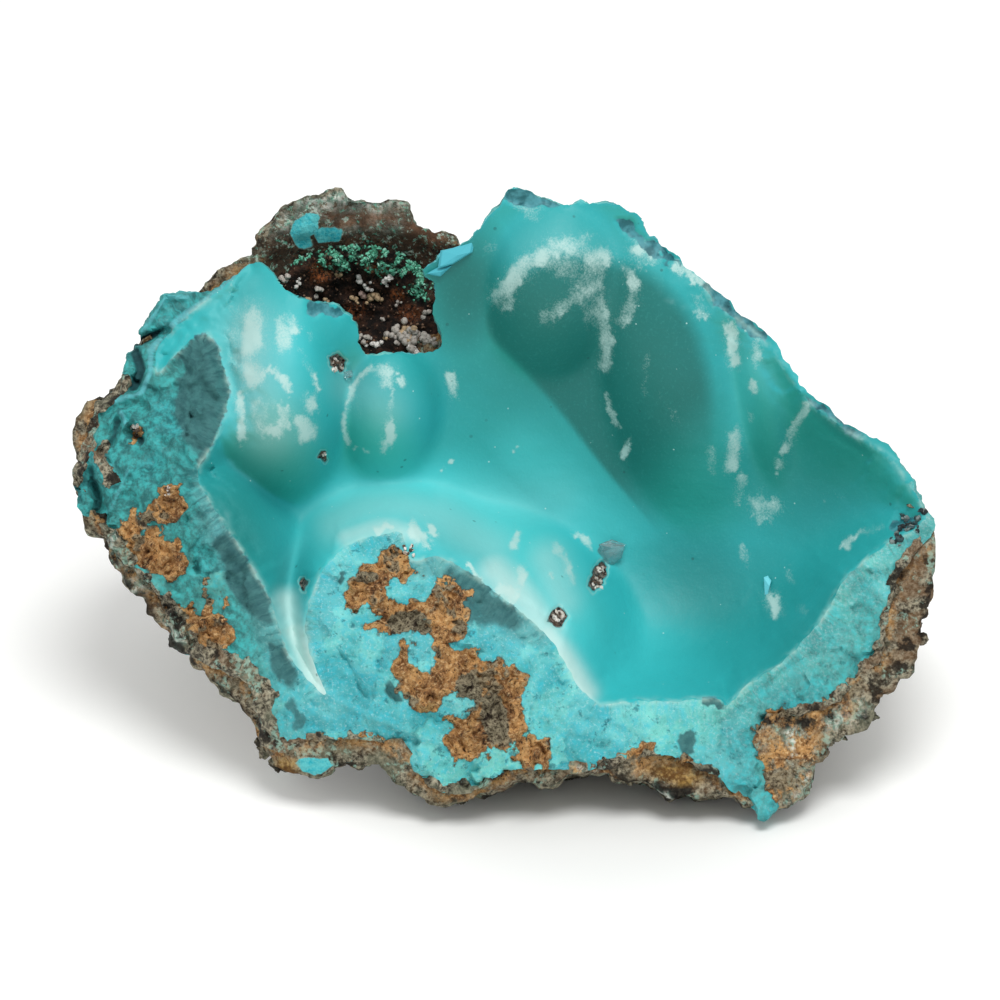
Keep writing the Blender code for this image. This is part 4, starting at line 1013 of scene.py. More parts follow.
def crust_values(co, normal, back):
    """What the crust's two materials read at each point; back is 0 on the front and 1 on the back."""
    x, y, z = co.T
    gap, run = nearest_on(x, y, lining_line, closed=False)
    shaded = painted_shade_loop(x, y)
    warp = 1.1 * blob_noise(x, y, 2.2, 125.0, 3)
    chips = ovals(x + warp, y - warp, CHIPS, 0.3) * ~inside(x, y, lining_loop)
    return {
        # Painted shade: greener where the lining faces down or to the left, under the lobes.
        "under": np.clip(-normal[:, 1] * 0.9 - normal[:, 0] * 0.25, 0, 1),
        "scuff": scuffed(x, y),
        "rim": np.exp(-((gap / 0.3) ** 2)) * (back == 0),
        "patch": gossan_patch(x, y) * (back < 0.5),
        "grey": ovals(x, y, PATCH_GREY, 0.3),
        # Pale ridges, and painted shade in the slots.
        "ridge_and_slot_shade": strokes(x, y, RIDGES, 0.6) - strokes(x, y, SLOTS, 0.6),
        "rind": rind_over(x, y) * (back < 0.5),
        # Glassy chips, and one painted shadow under a flap of the rim.
        "chip_and_shadow": np.maximum(chips, edge_chips_and_shadow(x, y)) * (back == 0),
        "near": np.exp(-((gap / 2.6) ** 2)),
        # Painted shade in the voids.
        "void_shade": void_at(x, y),
        "mint": mint_at(x, y),
        "pit": pits(x, y, 0.35) * (back == 0),
        # Painted shade on the broken face's left and right sides and on the back.
        "dim": np.maximum(ease(-x, 22.0, 31.0), np.maximum(0.7 * ease(x, 20.0, 32.0), back)),
        "band": np.exp(-((gap / 3.4) ** 2)) * ovals(x, y, BAND, 0.4),
        "pale": np.exp(-((gap / 4.0) ** 2)) * ease(x, 18.0, 26.0),
        # Pale bloom and painted highlight, kept off the painted shade.
        "bloom_and_highlight": fading_strokes(x, y, BLOOM_AND_HIGHLIGHT) * (1 - shaded),
        # Painted light: brighter strokes, kept off the painted shade.
        "painted_light": fading_strokes(x, y, PAINTED_LIGHT_STROKES) * (1 - shaded),
        "facet": facet_of(x, y)[2],
        # Painted shade: the loop and ovals of darker green.
        "painted_deep_shade": np.maximum(ovals(x, y, PAINTED_SHADE_OVALS, 0.9), shaded),
        "fibre": np.column_stack([run / 0.55, gap / 3.2, z / 1.2]),
    }


def make_crust():
    bm, side = stone(crust_edge, FRONT_GRAIN, BACK_GRAIN, crust_front, crust_back, lining_line)

    def hidden(x, y):
        return (distance_to(x, y, crust_loop, True) > HIDDEN_FROM) & inside(x, y, crust_loop)

    refine(bm, side, WALL_GRAIN, crust_back, hidden)
    verts = [v for v in bm.verts if v[side] > 0]
    co = np.array([v.co for v in verts])
    rough = rock_noise(co, 4.0, 11.0) * 0.5 + rock_noise(co, 1.2, 17.0) * 0.16
    smoother = ease(co[:, 0], 20.0, 26.0) * ease(co[:, 1], 2.0, 8.0)
    push(bm, verts, rough * (1 - 0.8 * smoother))
    bm.verts.index_update()
    bm.normal_update()
    co, normal = (np.array([getattr(v, key) for v in bm.verts]) for key in ("co", "normal"))
    values = crust_values(co, normal, np.array([v[side] for v in bm.verts]))
    x, y, _ = np.array([f.calc_center_median() for f in bm.faces]).T
    lined = inside(x, y, lining_loop) | ((x > LINED_BEYOND[0]) & (y > LINED_BEYOND[1]))
    lined &= np.array([max(v[side] for v in f.verts) == 0 for f in bm.faces])
    made = stand_up(bm, "rosasite", values)
    made.data.materials.append(lining_paint())
    made.data.materials.append(broken_paint())
    made.data.polygons.foreach_set("material_index", np.where(lined, 0, 1).astype(np.int32))
    made.data.set_sharp_from_angle(angle=math.radians(SHARP_ANGLE))
    return made


rosasite = make_crust()
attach(rosasite, "root")
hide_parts("rosasite_crust")


# The gossan matrix: crumbly brown iron-oxide rock, as the rind round the rosasite, the knob behind the gap in
# the wall, and the rough back and flat underside. Its front dips behind the crust, so that the two meet along
# the crust's outline.
MATRIX_THICK = 43.0
MATRIX_ROUND = 13.0
MATRIX_WALL = 2.0  # the least thickness where the rock is open
MATRIX_BED = 1.0  # and where the crust covers it
MATRIX_GRAIN = 0.9
MATRIX_BACK_GRAIN = 1.9
MATRIX_WALL_GRAIN = 0.85
RIND_STEP = 0.5
CRUST_GAP = 0.4  # between the crust's back and the rock's front
FLOOR_GAP = 0.02  # what comes nearer to the floor than this is set on it
KNOB_HOLLOW = dict(centre=(-16.5, 22.0), half=(10.5, 8.5), rim=-20.5, depth=12.0)
# Turquoise crusts, rusty rock, the painted shade in the knob's hollow, its reddish bands and ochre spots, as
# ovals.
TURQUOISE = [
    (-21.6, -30.5, 1.8, 0.9, 0, 1), (-23.0, 31.1, 1.2, 1.8, 0, 1), (-22.0, 32.2, 0.9, 1.0, 0, 1),
    (-19.8, 31.0, 1.5, 0.7, 0, 1),
]
RUSTY_ROCK = [
    (33.6, -29.6, 3.2, 5.0, -15, 1), (38.4, -25.0, 3.0, 1.4, 30, 0.8), (16.0, -30.6, 1.8, 1.2, 0, 0.9),
]
KNOB_HOLLOW_SHADE = [
    (-16.5, 25.6, 11.0, 6.6, 0, 1), (-24.5, 29.0, 3.6, 2.8, 40, 0.9), (-9.0, 28.6, 3.4, 4.0, 0, 1),
    (-17.0, 34.6, 5.0, 0.4, 0, 0.5),
]
REDDISH = [(-15.4, 32.9, 6.4, 0.9, -2, 1), (-9.0, 31.4, 2.6, 1.2, -20, 1)]
OCHRE = [(20.2, -31.6, 3.0, 1.0, -8, 1), (-24.6, -31.0, 1.4, 1.2, 0, 0.9)]
MATRIX_OUTLINE = [
    (-48.9, 4.8), (-48.4, -1.6), (-45.6, -5.2), (-43.0, -9.8), (-40.6, -13.0), (-37.0, -17.0),
    (-33.0, -20.6), (-29.6, -24.2), (-27.4, -28.4), (-25.4, -31.0), (-21.4, -32.0), (-18.4, -30.4),
    (-14.0, -30.6), (-9.4, -33.6), (-5.6, -35.0), (-1.4, -33.8), (2.4, -32.4), (8.0, -32.3),
    (12.6, -31.7), (16.8, -33.4), (19.8, -34.7), (22.4, -33.8), (27.6, -34.4), (31.4, -35.6),
    (34.4, -34.6), (35.4, -31.4), (38.6, -28.2), (42.4, -25.6), (43.4, -23.2), (46.6, -20.0),
    (48.6, -16.0), (49.2, -12.4), (49.8, -9.0), (50.3, -5.0), (47.8, -0.8), (44.0, 2.6),
    (38.6, 4.8), (33.0, 9.0), (28.6, 14.4), (22.6, 20.0), (16.6, 24.8), (11.4, 28.2),
    (5.6, 29.0), (0.8, 29.4), (-2.6, 27.6), (-5.2, 29.6), (-6.8, 31.2), (-9.8, 32.0),
    (-12.4, 34.4), (-16.4, 35.2), (-20.8, 35.8), (-24.0, 34.6), (-26.8, 31.8), (-28.8, 28.6),
    (-31.6, 27.6), (-34.0, 25.0), (-37.6, 22.4), (-41.0, 18.4), (-42.8, 15.8), (-45.0, 12.4),
    (-48.0, 11.6), (-49.6, 8.0),
]
matrix_loop = along(MATRIX_OUTLINE, 0.8, closed=True)
matrix_edge = roughened(matrix_loop, True, 0.8, 2.2, 15.0)


def knob_front(x, y):
    """The knob's front, with its hollow."""
    u, v = shares_from(x, y, KNOB_HOLLOW["centre"], KNOB_HOLLOW["half"])
    hollow = np.exp(-u * u - v * v)
    lumps = 0.8 * blob_noise(x, y, 4.0, 21.0) * (1 - hollow) ** 2
    return KNOB_HOLLOW["rim"] - KNOB_HOLLOW["depth"] * hollow + lumps


def matrix_face(x, y):
    """The rock's front where nothing covers it."""
    knob = ease(y, 11.0, 15.0) * ease(-x, -3.0, 3.0) * ease(x, -38.0, -33.0)
    rind = face_sheet(x, y) - RIND_STEP + 0.6 * blob_noise(x, y, 4.0, 13.0)
    return rind * (1 - knob) + knob_front(x, y) * knob


def matrix_front(x, y):
    """The rock's front, which dips behind the crust where that covers it."""
    front, under = matrix_face(x, y), inside(x, y, crust_edge) & (distance_to(x, y, crust_edge, True) > 1.0)
    front[under] = np.minimum(front[under], crust_back(x[under], y[under]) - CRUST_GAP)
    return front


def matrix_back(x, y):
    """The rock's lumpy back, cut flat at the floor and always some way behind the front."""
    lumps = 2.6 * blob_noise(x, y, 17.0, 31.0) + 1.1 * blob_noise(x, y, 7.0, 37.0)
    back = (MATRIX_THICK + lumps) * rounded_back(x, y, matrix_loop, 1.0, MATRIX_ROUND)
    back = np.maximum(np.minimum(back, matrix_face(x, y) - MATRIX_WALL), level_at(0.0, y))
    return np.minimum(back, matrix_front(x, y) - MATRIX_BED)


def gossan_paint():
    """Brown rock, rusty along the rosasite, with green and white dust on the knob and in its hollow, and
    painted shade in that hollow.
    """
    paint = Paint("gossan", 0.9, 0.25)
    colour, relief = gossan_layers(paint)
    rusty, grains = limonite_layers(paint)
    rust = paint.value("rust") * paint.noise(2.4, 4, 0.7, shift=31.0).ease(0.40, 0.55)
    colour = paint.mix(rust, colour, rusty)
    # Painted shade: the knob's hollow darkened.
    hollow = paint.value("knob_hollow_shade") * paint.noise(1.6, 4, 0.7, shift=34.0).ease(0.28, 0.42)
    darkened = paint.mix(grains.ease(0.55, 0.8), rgb(24, 16, 12), rgb(92, 66, 48))
    colour = paint.mix(hollow, colour, darkened)
    band = paint.value("band") * paint.noise(1.8, 3, 0.6, shift=35.0).ease(0.30, 0.50)
    reddish = paint.mix(grains.ease(0.4, 0.8), rgb(96, 62, 46), rgb(160, 114, 86))
    colour = paint.mix(band * 0.8, colour, reddish)
    knob = paint.value("knob")
    browner = knob * paint.noise(2.8, 4, 0.6, shift=36.0).ease(0.40, 0.60)
    colour = paint.mix(browner * 0.6, colour, rgb(62, 50, 40))
    green = knob * paint.noise(0.9, 5, 0.75, shift=33.0).ease(0.54, 0.62)
    greened = paint.mix(grains.ease(0.6, 0.8), rgb(104, 188, 160), rgb(214, 228, 214))
    colour = paint.mix(green * 0.75, colour, greened)
    crusted = paint.value("turquoise")
    colour = paint.mix(crusted.ease(0.25, 0.4) * 0.5, colour, rgb(150, 190, 180))
    turquoise = paint.mix(grains.ease(0.5, 0.8), rgb(40, 184, 200), rgb(104, 212, 216))
    colour = paint.mix((crusted + (grains - 0.5) * 0.5).ease(0.45, 0.55), colour, turquoise)
    ochre = paint.value("ochre") * grains.ease(0.35, 0.60)
    ochred = paint.mix(relief.ease(0.6, 0.8), rgb(122, 84, 40), rgb(206, 164, 84))
    paint.feed("Base Color", paint.mix(ochre * 0.8, colour, ochred))
    paint.bump(relief, 0.9)
    return paint.material


def set_on_floor(verts):
    """Bring points of a bmesh in the bed that are under the floor, or almost on it, onto it."""
    across, up = math.cos(math.radians(FACE_LEAN)), math.sin(math.radians(FACE_LEAN))
    for vert in verts:
        lift = across * vert.co.y + up * vert.co.z + BED_HEIGHT
        if lift < FLOOR_GAP:
            vert.co.z -= lift / up


def make_matrix():
    bm, side = stone(matrix_edge, MATRIX_GRAIN, MATRIX_BACK_GRAIN, matrix_front, matrix_back)
    refine(bm, side, MATRIX_WALL_GRAIN, matrix_back)
    verts = list(bm.verts)
    co = np.array([v.co for v in verts])
    x, y = co[:, 0], co[:, 1]
    cover = np.where(inside(x, y, crust_loop), distance_to(x, y, crust_loop, True) - 1.0, 0)
    front = np.array([v[side] == 0 for v in verts])
    free = np.where(front, ease(0.6 - cover, 0.0, 0.6), 1.0)
    rough = rock_noise(co, 6.0, 23.0) * 0.9 + rock_noise(co, 1.8, 29.0) * 0.35
    push(bm, verts, rough * free)
    set_on_floor(verts)
    co = np.array([v.co for v in verts])
    x, y = co[:, 0], co[:, 1]
    beside = distance_to(x, y, crust_loop, True)
    values = {
        "rust": np.maximum(np.exp(-((beside / 0.9) ** 2)), ovals(x, y, RUSTY_ROCK, 0.4)) * front,
        "knob": ease(y, 17.0, 22.0) * ease(2.0 - x, 0.0, 4.0) * ease(x, -34.0, -28.0),
        "turquoise": ovals(x + blob_noise(x, y, 1.2, 137.0, 2), y, TURQUOISE, 0.3) * front,
        # Painted shade in the knob's hollow.
        "knob_hollow_shade": ovals(x, y, KNOB_HOLLOW_SHADE, 0.3) * front,
        "band": ovals(x, y, REDDISH, 0.4) * front,
        "ochre": ovals(x, y, OCHRE, 0.4) * front,
        # Painted shade in the voids.
        "void_shade": void_at(x, y) * front,
        "mint": mint_at(x, y) * front,
    }
    made = stand_up(bm, "gossan", values)
    made.data.materials.append(gossan_paint())
    return made


gossan = make_matrix()
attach(gossan, "root")
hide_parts("gossan_matrix")


# The druse in the knob's hollow: a dark crumbly lining grown on the rock, with clusters of white, grey and
# tan balls of carbonate, green tufts, and loose crumbs among them.
DRUSE_GRAIN = 0.34
DRUSE_UNDER_GRAIN = 1.4
DRUSE_LIFT = 0.5  # its thickness between the lumps
DRUSE_BEDDED = 0.25  # how far it reaches into the rock
DRUSE_OUTLINE = [
    (-26.4, 24.6), (-22.6, 20.6), (-18.0, 17.2), (-11.4, 16.6), (-7.8, 18.6), (-7.0, 22.4),
    (-8.6, 26.6), (-13.0, 29.2), (-18.6, 29.8), (-23.8, 28.2),
]
# Clusters of balls: x, y, spread, radius of a ball, how many, colour.
BALLS = [
    (-25.2, 26.2, 0.5, 0.30, 5, "grey"), (-23.6, 25.4, 0.4, 0.28, 4, "white"),
    (-22.5, 23.4, 0.4, 0.28, 4, "tan"), (-21.2, 24.6, 0.5, 0.28, 5, "grey"),
    (-20.1, 23.2, 0.3, 0.26, 3, "tan"), (-16.4, 25.8, 0.3, 0.30, 4, "white"),
    (-15.4, 25.1, 0.5, 0.30, 5, "white"), (-16.1, 24.1, 0.4, 0.34, 4, "pink"),
    (-14.9, 23.7, 0.8, 0.32, 10, "tan"), (-16.9, 23.4, 0.5, 0.26, 5, "tan"),
    (-13.2, 25.8, 0.7, 0.32, 9, "white"), (-8.6, 21.7, 0.5, 0.32, 6, "grey"),
    (-15.8, 18.8, 0.5, 0.32, 6, "grey"), (-14.7, 18.1, 0.7, 0.36, 9, "white"),
    (-13.1, 19.1, 0.3, 0.24, 3, "tan"), (-11.2, 18.8, 1.5, 0.40, 30, "grey"),
    (-10.6, 19.6, 0.9, 0.34, 12, "tan"), (-8.7, 18.7, 0.9, 0.38, 14, "grey"),
    (-10.0, 17.4, 0.9, 0.34, 10, "white"), (-18.3, 20.6, 0.3, 0.22, 3, "grey"),
    (-11.9, 23.0, 0.4, 0.22, 4, "grey"), (-19.0, 26.4, 0.5, 0.24, 4, "tan"),
    (-13.6, 21.2, 0.3, 0.24, 3, "grey"), (-18.6, 18.6, 0.6, 0.28, 5, "tan"),
]
BALL_COLOURS = {
    "white": (234, 230, 224), "grey": (194, 187, 178), "tan": (202, 174, 138), "pink": (222, 190, 178),
}
# Green tufts: x, y, half-width, half-height, turn, share; rusty parts in the same terms.
TUFTS = [
    (-19.4, 28.2, 2.2, 1.4, 0, 1), (-12.6, 28.0, 3.4, 2.0, -10, 1), (-9.2, 27.0, 1.6, 2.2, 20, 1),
    (-23.4, 28.6, 2.0, 1.0, 20, 0.7), (-9.4, 24.6, 1.2, 1.4, 0, 0.6), (-16.0, 29.2, 3.0, 1.0, 0, 0.8),
]
RUSTY = [
    (-21.0, 26.6, 1.3, 1.2, 0, 1), (-12.0, 24.0, 0.9, 0.7, 0, 1), (-14.4, 27.0, 1.2, 0.7, 0, 0.8),
    (-17.4, 22.0, 1.6, 0.9, 20, 0.7), (-10.6, 21.8, 1.4, 1.0, 0, 0.6),
]
SPOT_COUNT = 9000  # places tried for tufts and crumbs
TUFT_COUNT = 900
TUFT_COLOURS = ((84, 172, 140), (124, 208, 178), (172, 226, 204))
CRUMB_COUNT = 700
CRUMB_COLOURS = ((24, 16, 12), (64, 42, 30), (128, 100, 80))
ROUGH_CHIP = 0.6  # how uneven a tuft or a crumb is
ROUGH_BALL = 0.35


def druse_sheet(x, y):
    """The druse's own lumpy surface, thin at its edge."""
    edge = ease(distance_to(x, y, druse_loop, True), 0.0, 1.6)
    lumps = np.abs(blob_noise(x, y, 2.4, 131.0, 3)) * 1.8 + np.abs(blob_noise(x, y, 0.8, 133.0, 2)) * 0.5
    return matrix_front(x, y) + 0.1 + edge * (DRUSE_LIFT + lumps)


def druse_under(x, y):
    return matrix_front(x, y) - DRUSE_BEDDED


druse_loop = roughened(along(DRUSE_OUTLINE, 0.4, True), True, 0.5, 1.5, 47.0)


def ball(steps):
    """A unit ball's points and triangles; 0 steps gives twenty faces."""
    bm = bmesh.new()
    bmesh.ops.create_icosphere(bm, subdivisions=steps + 1, radius=1.0)
    shape = [v.co.copy() for v in bm.verts], [[v.index for v in f.verts] for f in bm.faces]
    bm.free()
    return shape


def turned_about(rng):
    return Euler([rng.uniform(0, 6.3) for _ in range(3)]).to_matrix()


def add_lumps(bm, shape, places, tint, colour, uneven):
    """Copies of a ball or a crumb: each place is a centre and three half-sizes along turned axes."""
    points, faces = shape
    tone = Vector(rgb(*colour)[:3])
    for centre, size, turn in places:
        verts = []
        for p in points:
            swell = 1 + uneven * noise.noise(p * 1.7 + centre * 3)
            vert = bm.verts.new(centre + turn @ Vector((p.x * size[0], p.y * size[1], p.z * size[2])) * swell)
            vert[tint] = tone
            verts.append(vert)
        for face in faces:
            bm.faces.new([verts[i] for i in face]).smooth = uneven < 0.5


def druse_paint():
    """Dark brown crumbly rock with rusty and green parts."""
    paint = Paint("druse", 0.85, 0.3)
    lumps = paint.noise(1.3, 5, 0.7, shift=41.0)
    grit = paint.noise(0.35, 4, 0.7, shift=42.0)
    colour = paint.mix(lumps.ease(0.44, 0.66), rgb(17, 11, 8), rgb(66, 42, 30))
    colour = paint.mix(grit.ease(0.60, 0.70) * 0.6, colour, rgb(120, 92, 72))
    rust = paint.value("rust") * grit.ease(0.42, 0.56) * lumps.ease(0.38, 0.54)
    colour = paint.mix(rust, colour, rgb(156, 88, 46))
    green = paint.value("tuft") * paint.noise(0.8, 4, 0.7, shift=43.0).ease(0.46, 0.56)
    greened = paint.mix(grit.ease(0.4, 0.65), rgb(52, 128, 100), rgb(128, 206, 174))
    paint.feed("Base Color", paint.mix(green, colour, greened))
    paint.bump(lumps + grit * 0.5, 0.5)
    return paint.material


def lump_paint():
    """Balls, tufts and crumbs, each in its own colour, with brown dirt in their grain."""
    paint = Paint("lumps", 0.75, 0.3)
    grit = paint.noise(0.25, 4, 0.7, shift=51.0)
    dirt = grit.ease(0.52, 0.38) * 0.55
    paint.feed("Base Color", paint.mix(dirt, paint.value("tint", "Vector"), rgb(70, 52, 40)))
    paint.bump(grit, 0.08)
    return paint.material


def make_druse():
    bm, side = stone(druse_loop, DRUSE_GRAIN, DRUSE_UNDER_GRAIN, druse_sheet, druse_under)
    rock_faces = len(bm.faces)
    tint = bm.verts.layers.float_vector.new("tint")
    rng = random.Random(5)

    def on_sheet(spots):
        spots = np.array(spots)
        return [Vector((x, y, z)) for (x, y), z in zip(spots, druse_sheet(spots[:, 0], spots[:, 1]))]

    def strew(spots, count, colours, half_sizes):
        """Chips on the first of the spots, as many in each of the colours."""
        share = count // len(colours)
        for k, colour in enumerate(colours):
            resting = on_sheet(spots[k * share:(k + 1) * share])
            places = [(spot, half_sizes(), turned_about(rng)) for spot in resting]
            add_lumps(bm, ball(0), places, tint, colour, ROUGH_CHIP)

    def tuft_sizes():
        size = rng.uniform(0.10, 0.24)
        return size, size * 0.6, size * rng.uniform(0.8, 1.8)

    def crumb_sizes():
        size = rng.uniform(0.08, 0.32) ** 1.3
        return size, size * rng.uniform(0.6, 1), size * rng.uniform(0.6, 1)

    for x, y, spread, radius, count, name in BALLS:
        spots = [(x + rng.gauss(0, spread * 0.6), y + rng.gauss(0, spread * 0.5)) for _ in range(count)]
        places = []
        for spot in on_sheet(spots):
            size = radius * rng.uniform(0.7, 1.25)
            lift = Vector((0, 0, rng.uniform(0.3, 1.3) * radius))
            places.append((spot + lift, (size, size, size), turned_about(rng)))
        shade = rng.uniform(0.92, 1.06)
        add_lumps(bm, ball(1), places, tint, [c * shade for c in BALL_COLOURS[name]], ROUGH_BALL)
    low, high = druse_loop.min(0), druse_loop.max(0)
    spots = [(rng.uniform(low[0], high[0]), rng.uniform(low[1], high[1])) for _ in range(SPOT_COUNT)]
    spots = np.array(spots)
    spots = spots[inside(spots[:, 0], spots[:, 1], druse_loop)]
    tufted = ovals(spots[:, 0], spots[:, 1], TUFTS, 0.5)
    tufted *= ease(blob_noise(spots[:, 0], spots[:, 1], 1.1, 135.0, 2), -0.12, 0.10)
    picked = [p for p, t in zip(spots, tufted) if rng.random() < t]
    strew(picked, TUFT_COUNT, TUFT_COLOURS, tuft_sizes)
    plain = [p for p, t in zip(spots, tufted) if t < 0.2]
    strew(plain, CRUMB_COUNT, CRUMB_COLOURS, crumb_sizes)
    x, y, _ = np.array([v.co for v in bm.verts]).T
    values = {
        "tuft": ovals(x, y, TUFTS, 0.5) * ease(blob_noise(x, y, 1.1, 135.0, 2), -0.15, 0.08),
        "rust": ovals(x, y, RUSTY, 0.5),
        "tint": np.array([v[tint] for v in bm.verts]),
    }
    bm.verts.layers.float_vector.remove(tint)
    made = stand_up(bm, "druse", values)
    made.data.materials.append(druse_paint())
    made.data.materials.append(lump_paint())
    slots = (np.arange(len(made.data.polygons)) >= rock_faces).astype(np.int32)
    made.data.polygons.foreach_set("material_index", slots)
    return made


druse = make_druse()
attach(druse, "root")
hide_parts("druse_crust")


# The crystals: small blocks of white, brown and dark crystal in the lining's pits and at its right tip, clear
# glassy flakes and a loose blue sliver that lie on the lining, and two ledge plates of rosasite that stand
# out beside the gap in the wall.
ROUGH_CRYSTAL = 0.7  # how uneven a block is
# Clusters of blocks: x, y, spread, how many, half-size.
PIT_CRYSTALS = [
    (-18.9, 15.7, 0.75, 16, 0.24), (-20.5, 5.2, 0.35, 9, 0.20), (6.7, -13.7, 0.8, 18, 0.24),
    (11.2, -9.6, 0.7, 14, 0.24), (11.7, -8.2, 0.5, 9, 0.22), (-42.2, 7.9, 0.7, 12, 0.24),
    (-10.6, -6.0, 0.8, 12, 0.22), (-38.4, 1.0, 0.5, 7, 0.18),
]
PIT_COLOURS = ((228, 224, 216), (206, 198, 186), (92, 78, 66))
DARK_CRYSTALS = [
    (46.9, -2.6, 0.9, 14, 0.34), (48.6, -1.8, 0.6, 8, 0.30), (45.6, -4.6, 0.8, 10, 0.30),
    (47.9, -3.2, 0.6, 8, 0.26),
]
DARK_COLOURS = ((24, 40, 44), (52, 78, 82), (120, 134, 132))
FLAKE = [(10.9, -6.0), (12.4, -4.9), (14.6, -5.3), (14.2, -6.8), (12.4, -8.2), (11.2, -7.4)]
FLAKE_TOP = [(11.5, -5.2), (13.0, -4.6), (14.8, -5.2), (13.4, -6.3), (12.0, -6.1)]
SMALL_FLAKE = [(-18.2, 14.9), (-17.2, 15.1), (-17.0, 14.4), (-17.8, 14.0), (-18.5, 14.3)]
FLAKE_NARROWER = 0.86  # a flake's top face, against its bottom
FLAKE_PEAK = (0.25, -0.15, 0.5)  # its highest point, from the middle of the top face
LEDGES = [
    [(-7.2, 26.8), (-6.9, 28.9), (-5.5, 29.2), (-2.9, 30.1), (-3.2, 28.7), (-5.5, 27.3)],
    [(-8.6, 26.2), (-7.2, 27.0), (-5.5, 27.2), (-6.9, 25.9)],
]
SLIVER = [(30.7, -9.0), (31.2, -8.8), (31.6, -9.4), (31.2, -11.2), (30.8, -11.2)]


def clear_paint():
    paint = Paint("clear_crystal", 0.12, 0.5)
    paint.feed("Base Color", rgb(222, 244, 246))
    paint.feed("Transmission Weight", 0.88)
    paint.feed("IOR", 1.55)
    return paint.material


def plain_paint(name, colour, roughness):
    paint = Paint(name, roughness, 0.3)
    paint.feed("Base Color", colour)
    return paint.material


def flake(bm, outline, lift, thick, tilt):
    """A broken plate over an outline, resting on the lining and tilted by its rise towards +x and +y."""
    corners = np.array(outline)
    middle = corners.mean(0)
    rest = crust_front(*middle.reshape(1, 2).T)[0] + lift
    rings = []
    for level, share in ((0.0, 1.0), (thick, FLAKE_NARROWER)):
        ring = middle + (corners - middle) * share
        rise = [rest + level + float((p - middle) @ np.array(tilt)) for p in ring]
        rings.append([bm.verts.new((p[0], p[1], z)) for p, z in zip(ring, rise)])
    below, above = rings
    top = bm.verts.new(np.mean([v.co for v in above], axis=0) + np.array(FLAKE_PEAK))
    for i in range(len(corners)):
        bm.faces.new([above[i - 1], above[i], top])
    bm.faces.new(below[::-1])
    for i in range(len(corners)):
        bm.faces.new([below[i - 1], below[i], above[i], above[i - 1]])


def make_crystals():
    bm = bmesh.new()
    tint = bm.verts.layers.float_vector.new("tint")
    rng = random.Random(8)
    for clusters, colours in ((PIT_CRYSTALS, PIT_COLOURS), (DARK_CRYSTALS, DARK_COLOURS)):
        for x, y, spread, count, size in clusters:
            places = []
            for _ in range(count):
                px, py = x + rng.uniform(-spread, spread) * 0.8, y + rng.uniform(-spread, spread)
                pz = crust_front(np.array([px]), np.array([py]))[0] + 0.1
                half = size * rng.uniform(0.6, 1.5)
                places.append((Vector((px, py, pz)), (half, half * 0.7, half * 1.2), turned_about(rng)))
            for k, colour in enumerate(colours):
                add_lumps(bm, ball(0), places[k::len(colours)], tint, colour, ROUGH_CRYSTAL)
    ends = [len(bm.faces)]  # where each material's faces end
    flake(bm, FLAKE, 0.25, 0.35, (0.25, 0.30))
    flake(bm, FLAKE_TOP, 0.75, 0.25, (-0.35, 0.45))
    flake(bm, SMALL_FLAKE, 0.2, 0.4, (0.2, -0.2))
    ends.append(len(bm.faces))
    flake(bm, SLIVER, 0.2, 0.25, (0.3, 0.0))
    ends.append(len(bm.faces))
    for ledge in LEDGES:
        flake(bm, ledge, 0.15, 0.35, (0.1, -0.25))
    values = {"tint": np.array([v[tint] for v in bm.verts])}
    bm.verts.layers.float_vector.remove(tint)
    bmesh.ops.recalc_face_normals(bm, faces=bm.faces)
    made = stand_up(bm, "crystals", values)
    made.data.shade_flat()
    for material in (lump_paint(), clear_paint(), plain_paint("blue_sliver", rgb(120, 214, 226), 0.4),
                     plain_paint("ledge", rgb(74, 172, 186), 0.6)):
        made.data.materials.append(material)
    index = np.searchsorted(ends, np.arange(len(made.data.polygons)), side="right")
    made.data.polygons.foreach_set("material_index", index.astype(np.int32))
    return made


crystals = make_crystals()
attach(crystals, "root")


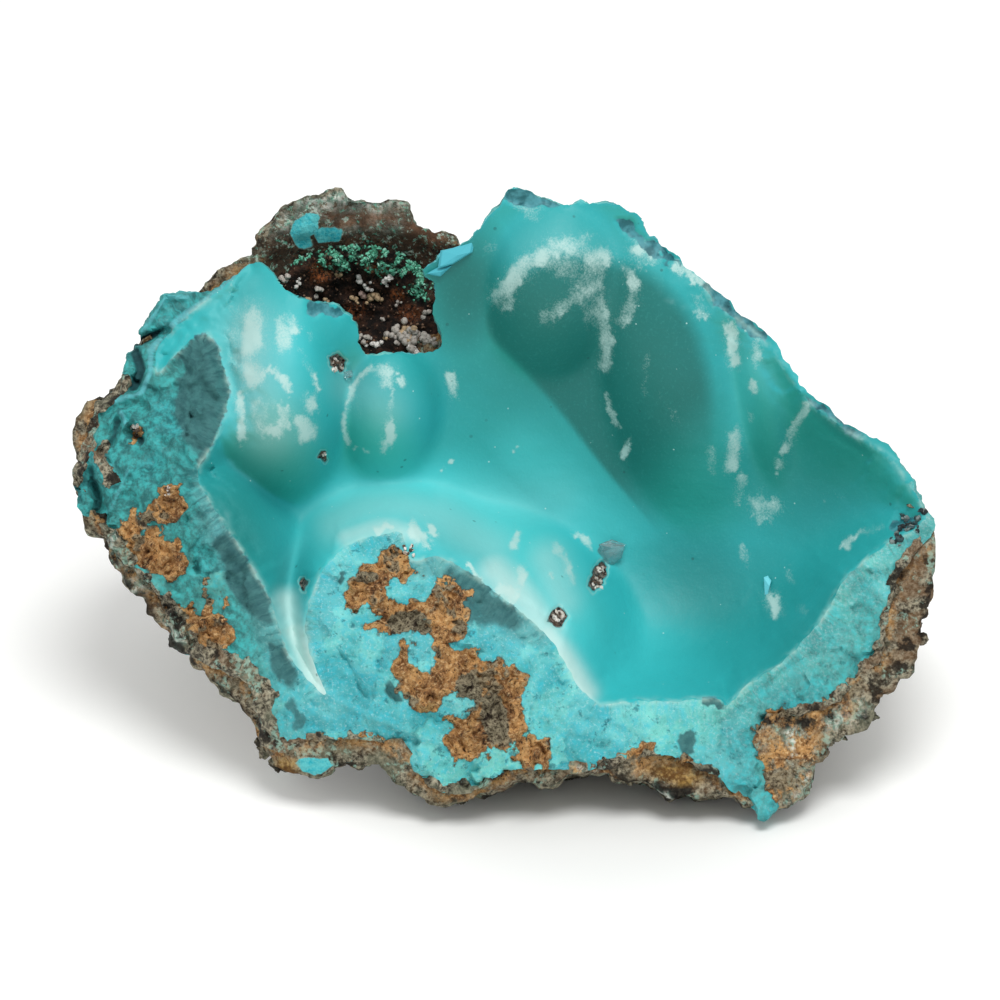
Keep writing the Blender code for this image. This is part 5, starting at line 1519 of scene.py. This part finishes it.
# The floor, the light and the camera: a pale sweep that glows a little except under the specimen's foot, one
# large soft lamp above in a bright room, and a long lens that looks down on the broken face squarely.
# All in metres.
FLOOR_WIDE = 6.0
FOOT = (0.012, -0.026, 0.0)
GLOW_RISE = (0.010, 0.042)  # distances from the foot between which the floor's glow sets in
FLOOR_GLOW = (0.24, 0.24, 0.24, 1.0)
LAMP_PLACE = (0.06, -0.21, 0.65)
LAMP_AIM = (0.0, -0.015, 0.035)
LAMP_WIDE = 0.36
LAMP_POWER = 3.0
ROOM_LIGHT = 0.66
VIEW_UP = 30.0  # degrees above level
VIEW_FAR = 1.6
VIEW_WIDE = 0.1156  # the width that the camera sees at the broken face
FACE_BEHIND = 0.009  # the broken face, behind the bed's origin
SENSOR_WIDE = 36  # millimetres


def make_floor():
    bpy.ops.mesh.primitive_plane_add(size=FLOOR_WIDE)
    made = bpy.context.object
    made.name = "floor"
    paint = Paint("floor", 0.9, 0.1)
    paint.feed("Base Color", rgb(230, 231, 229))
    away = paint.node("ShaderNodeVectorMath", {"operation": "DISTANCE"}, {0: paint.place, 1: FOOT}, "Value")
    paint.feed("Emission Color", paint.mix(away.ease(*GLOW_RISE), (0, 0, 0, 1), FLOOR_GLOW))
    paint.feed("Emission Strength", 1.0)
    made.data.materials.append(paint.material)
    return made


def make_lamp():
    data = bpy.data.lights.new("key", "AREA")
    data.shape, data.size, data.energy = "DISK", LAMP_WIDE, LAMP_POWER
    made = bpy.data.objects.new("key", data)
    bpy.context.scene.collection.objects.link(made)
    made.location = LAMP_PLACE
    made.rotation_euler = (Vector(LAMP_AIM) - Vector(LAMP_PLACE)).to_track_quat("-Z", "Y").to_euler()


def make_room():
    world = bpy.data.worlds.new("room")
    bpy.context.scene.world = world
    world.use_nodes = True
    light = world.node_tree.nodes["Background"].inputs
    light["Color"].default_value = (1, 1, 1, 1)
    light["Strength"].default_value = ROOM_LIGHT


def make_camera():
    data = bpy.data.cameras.new("camera")
    made = bpy.data.objects.new("camera", data)
    bpy.context.scene.collection.objects.link(made)
    up = math.radians(VIEW_UP)
    away = Vector((0, -math.cos(up), math.sin(up)))
    made.location = Vector(BED_ORIGIN) + away * VIEW_FAR
    made.rotation_euler = (-away).to_track_quat("-Z", "Y").to_euler()
    data.sensor_width = SENSOR_WIDE
    data.lens = SENSOR_WIDE * (VIEW_FAR + FACE_BEHIND) / VIEW_WIDE
    bpy.context.scene.camera = made


make_floor()
make_lamp()
make_room()
make_camera()
bpy.context.scene.view_settings.view_transform = "Standard"
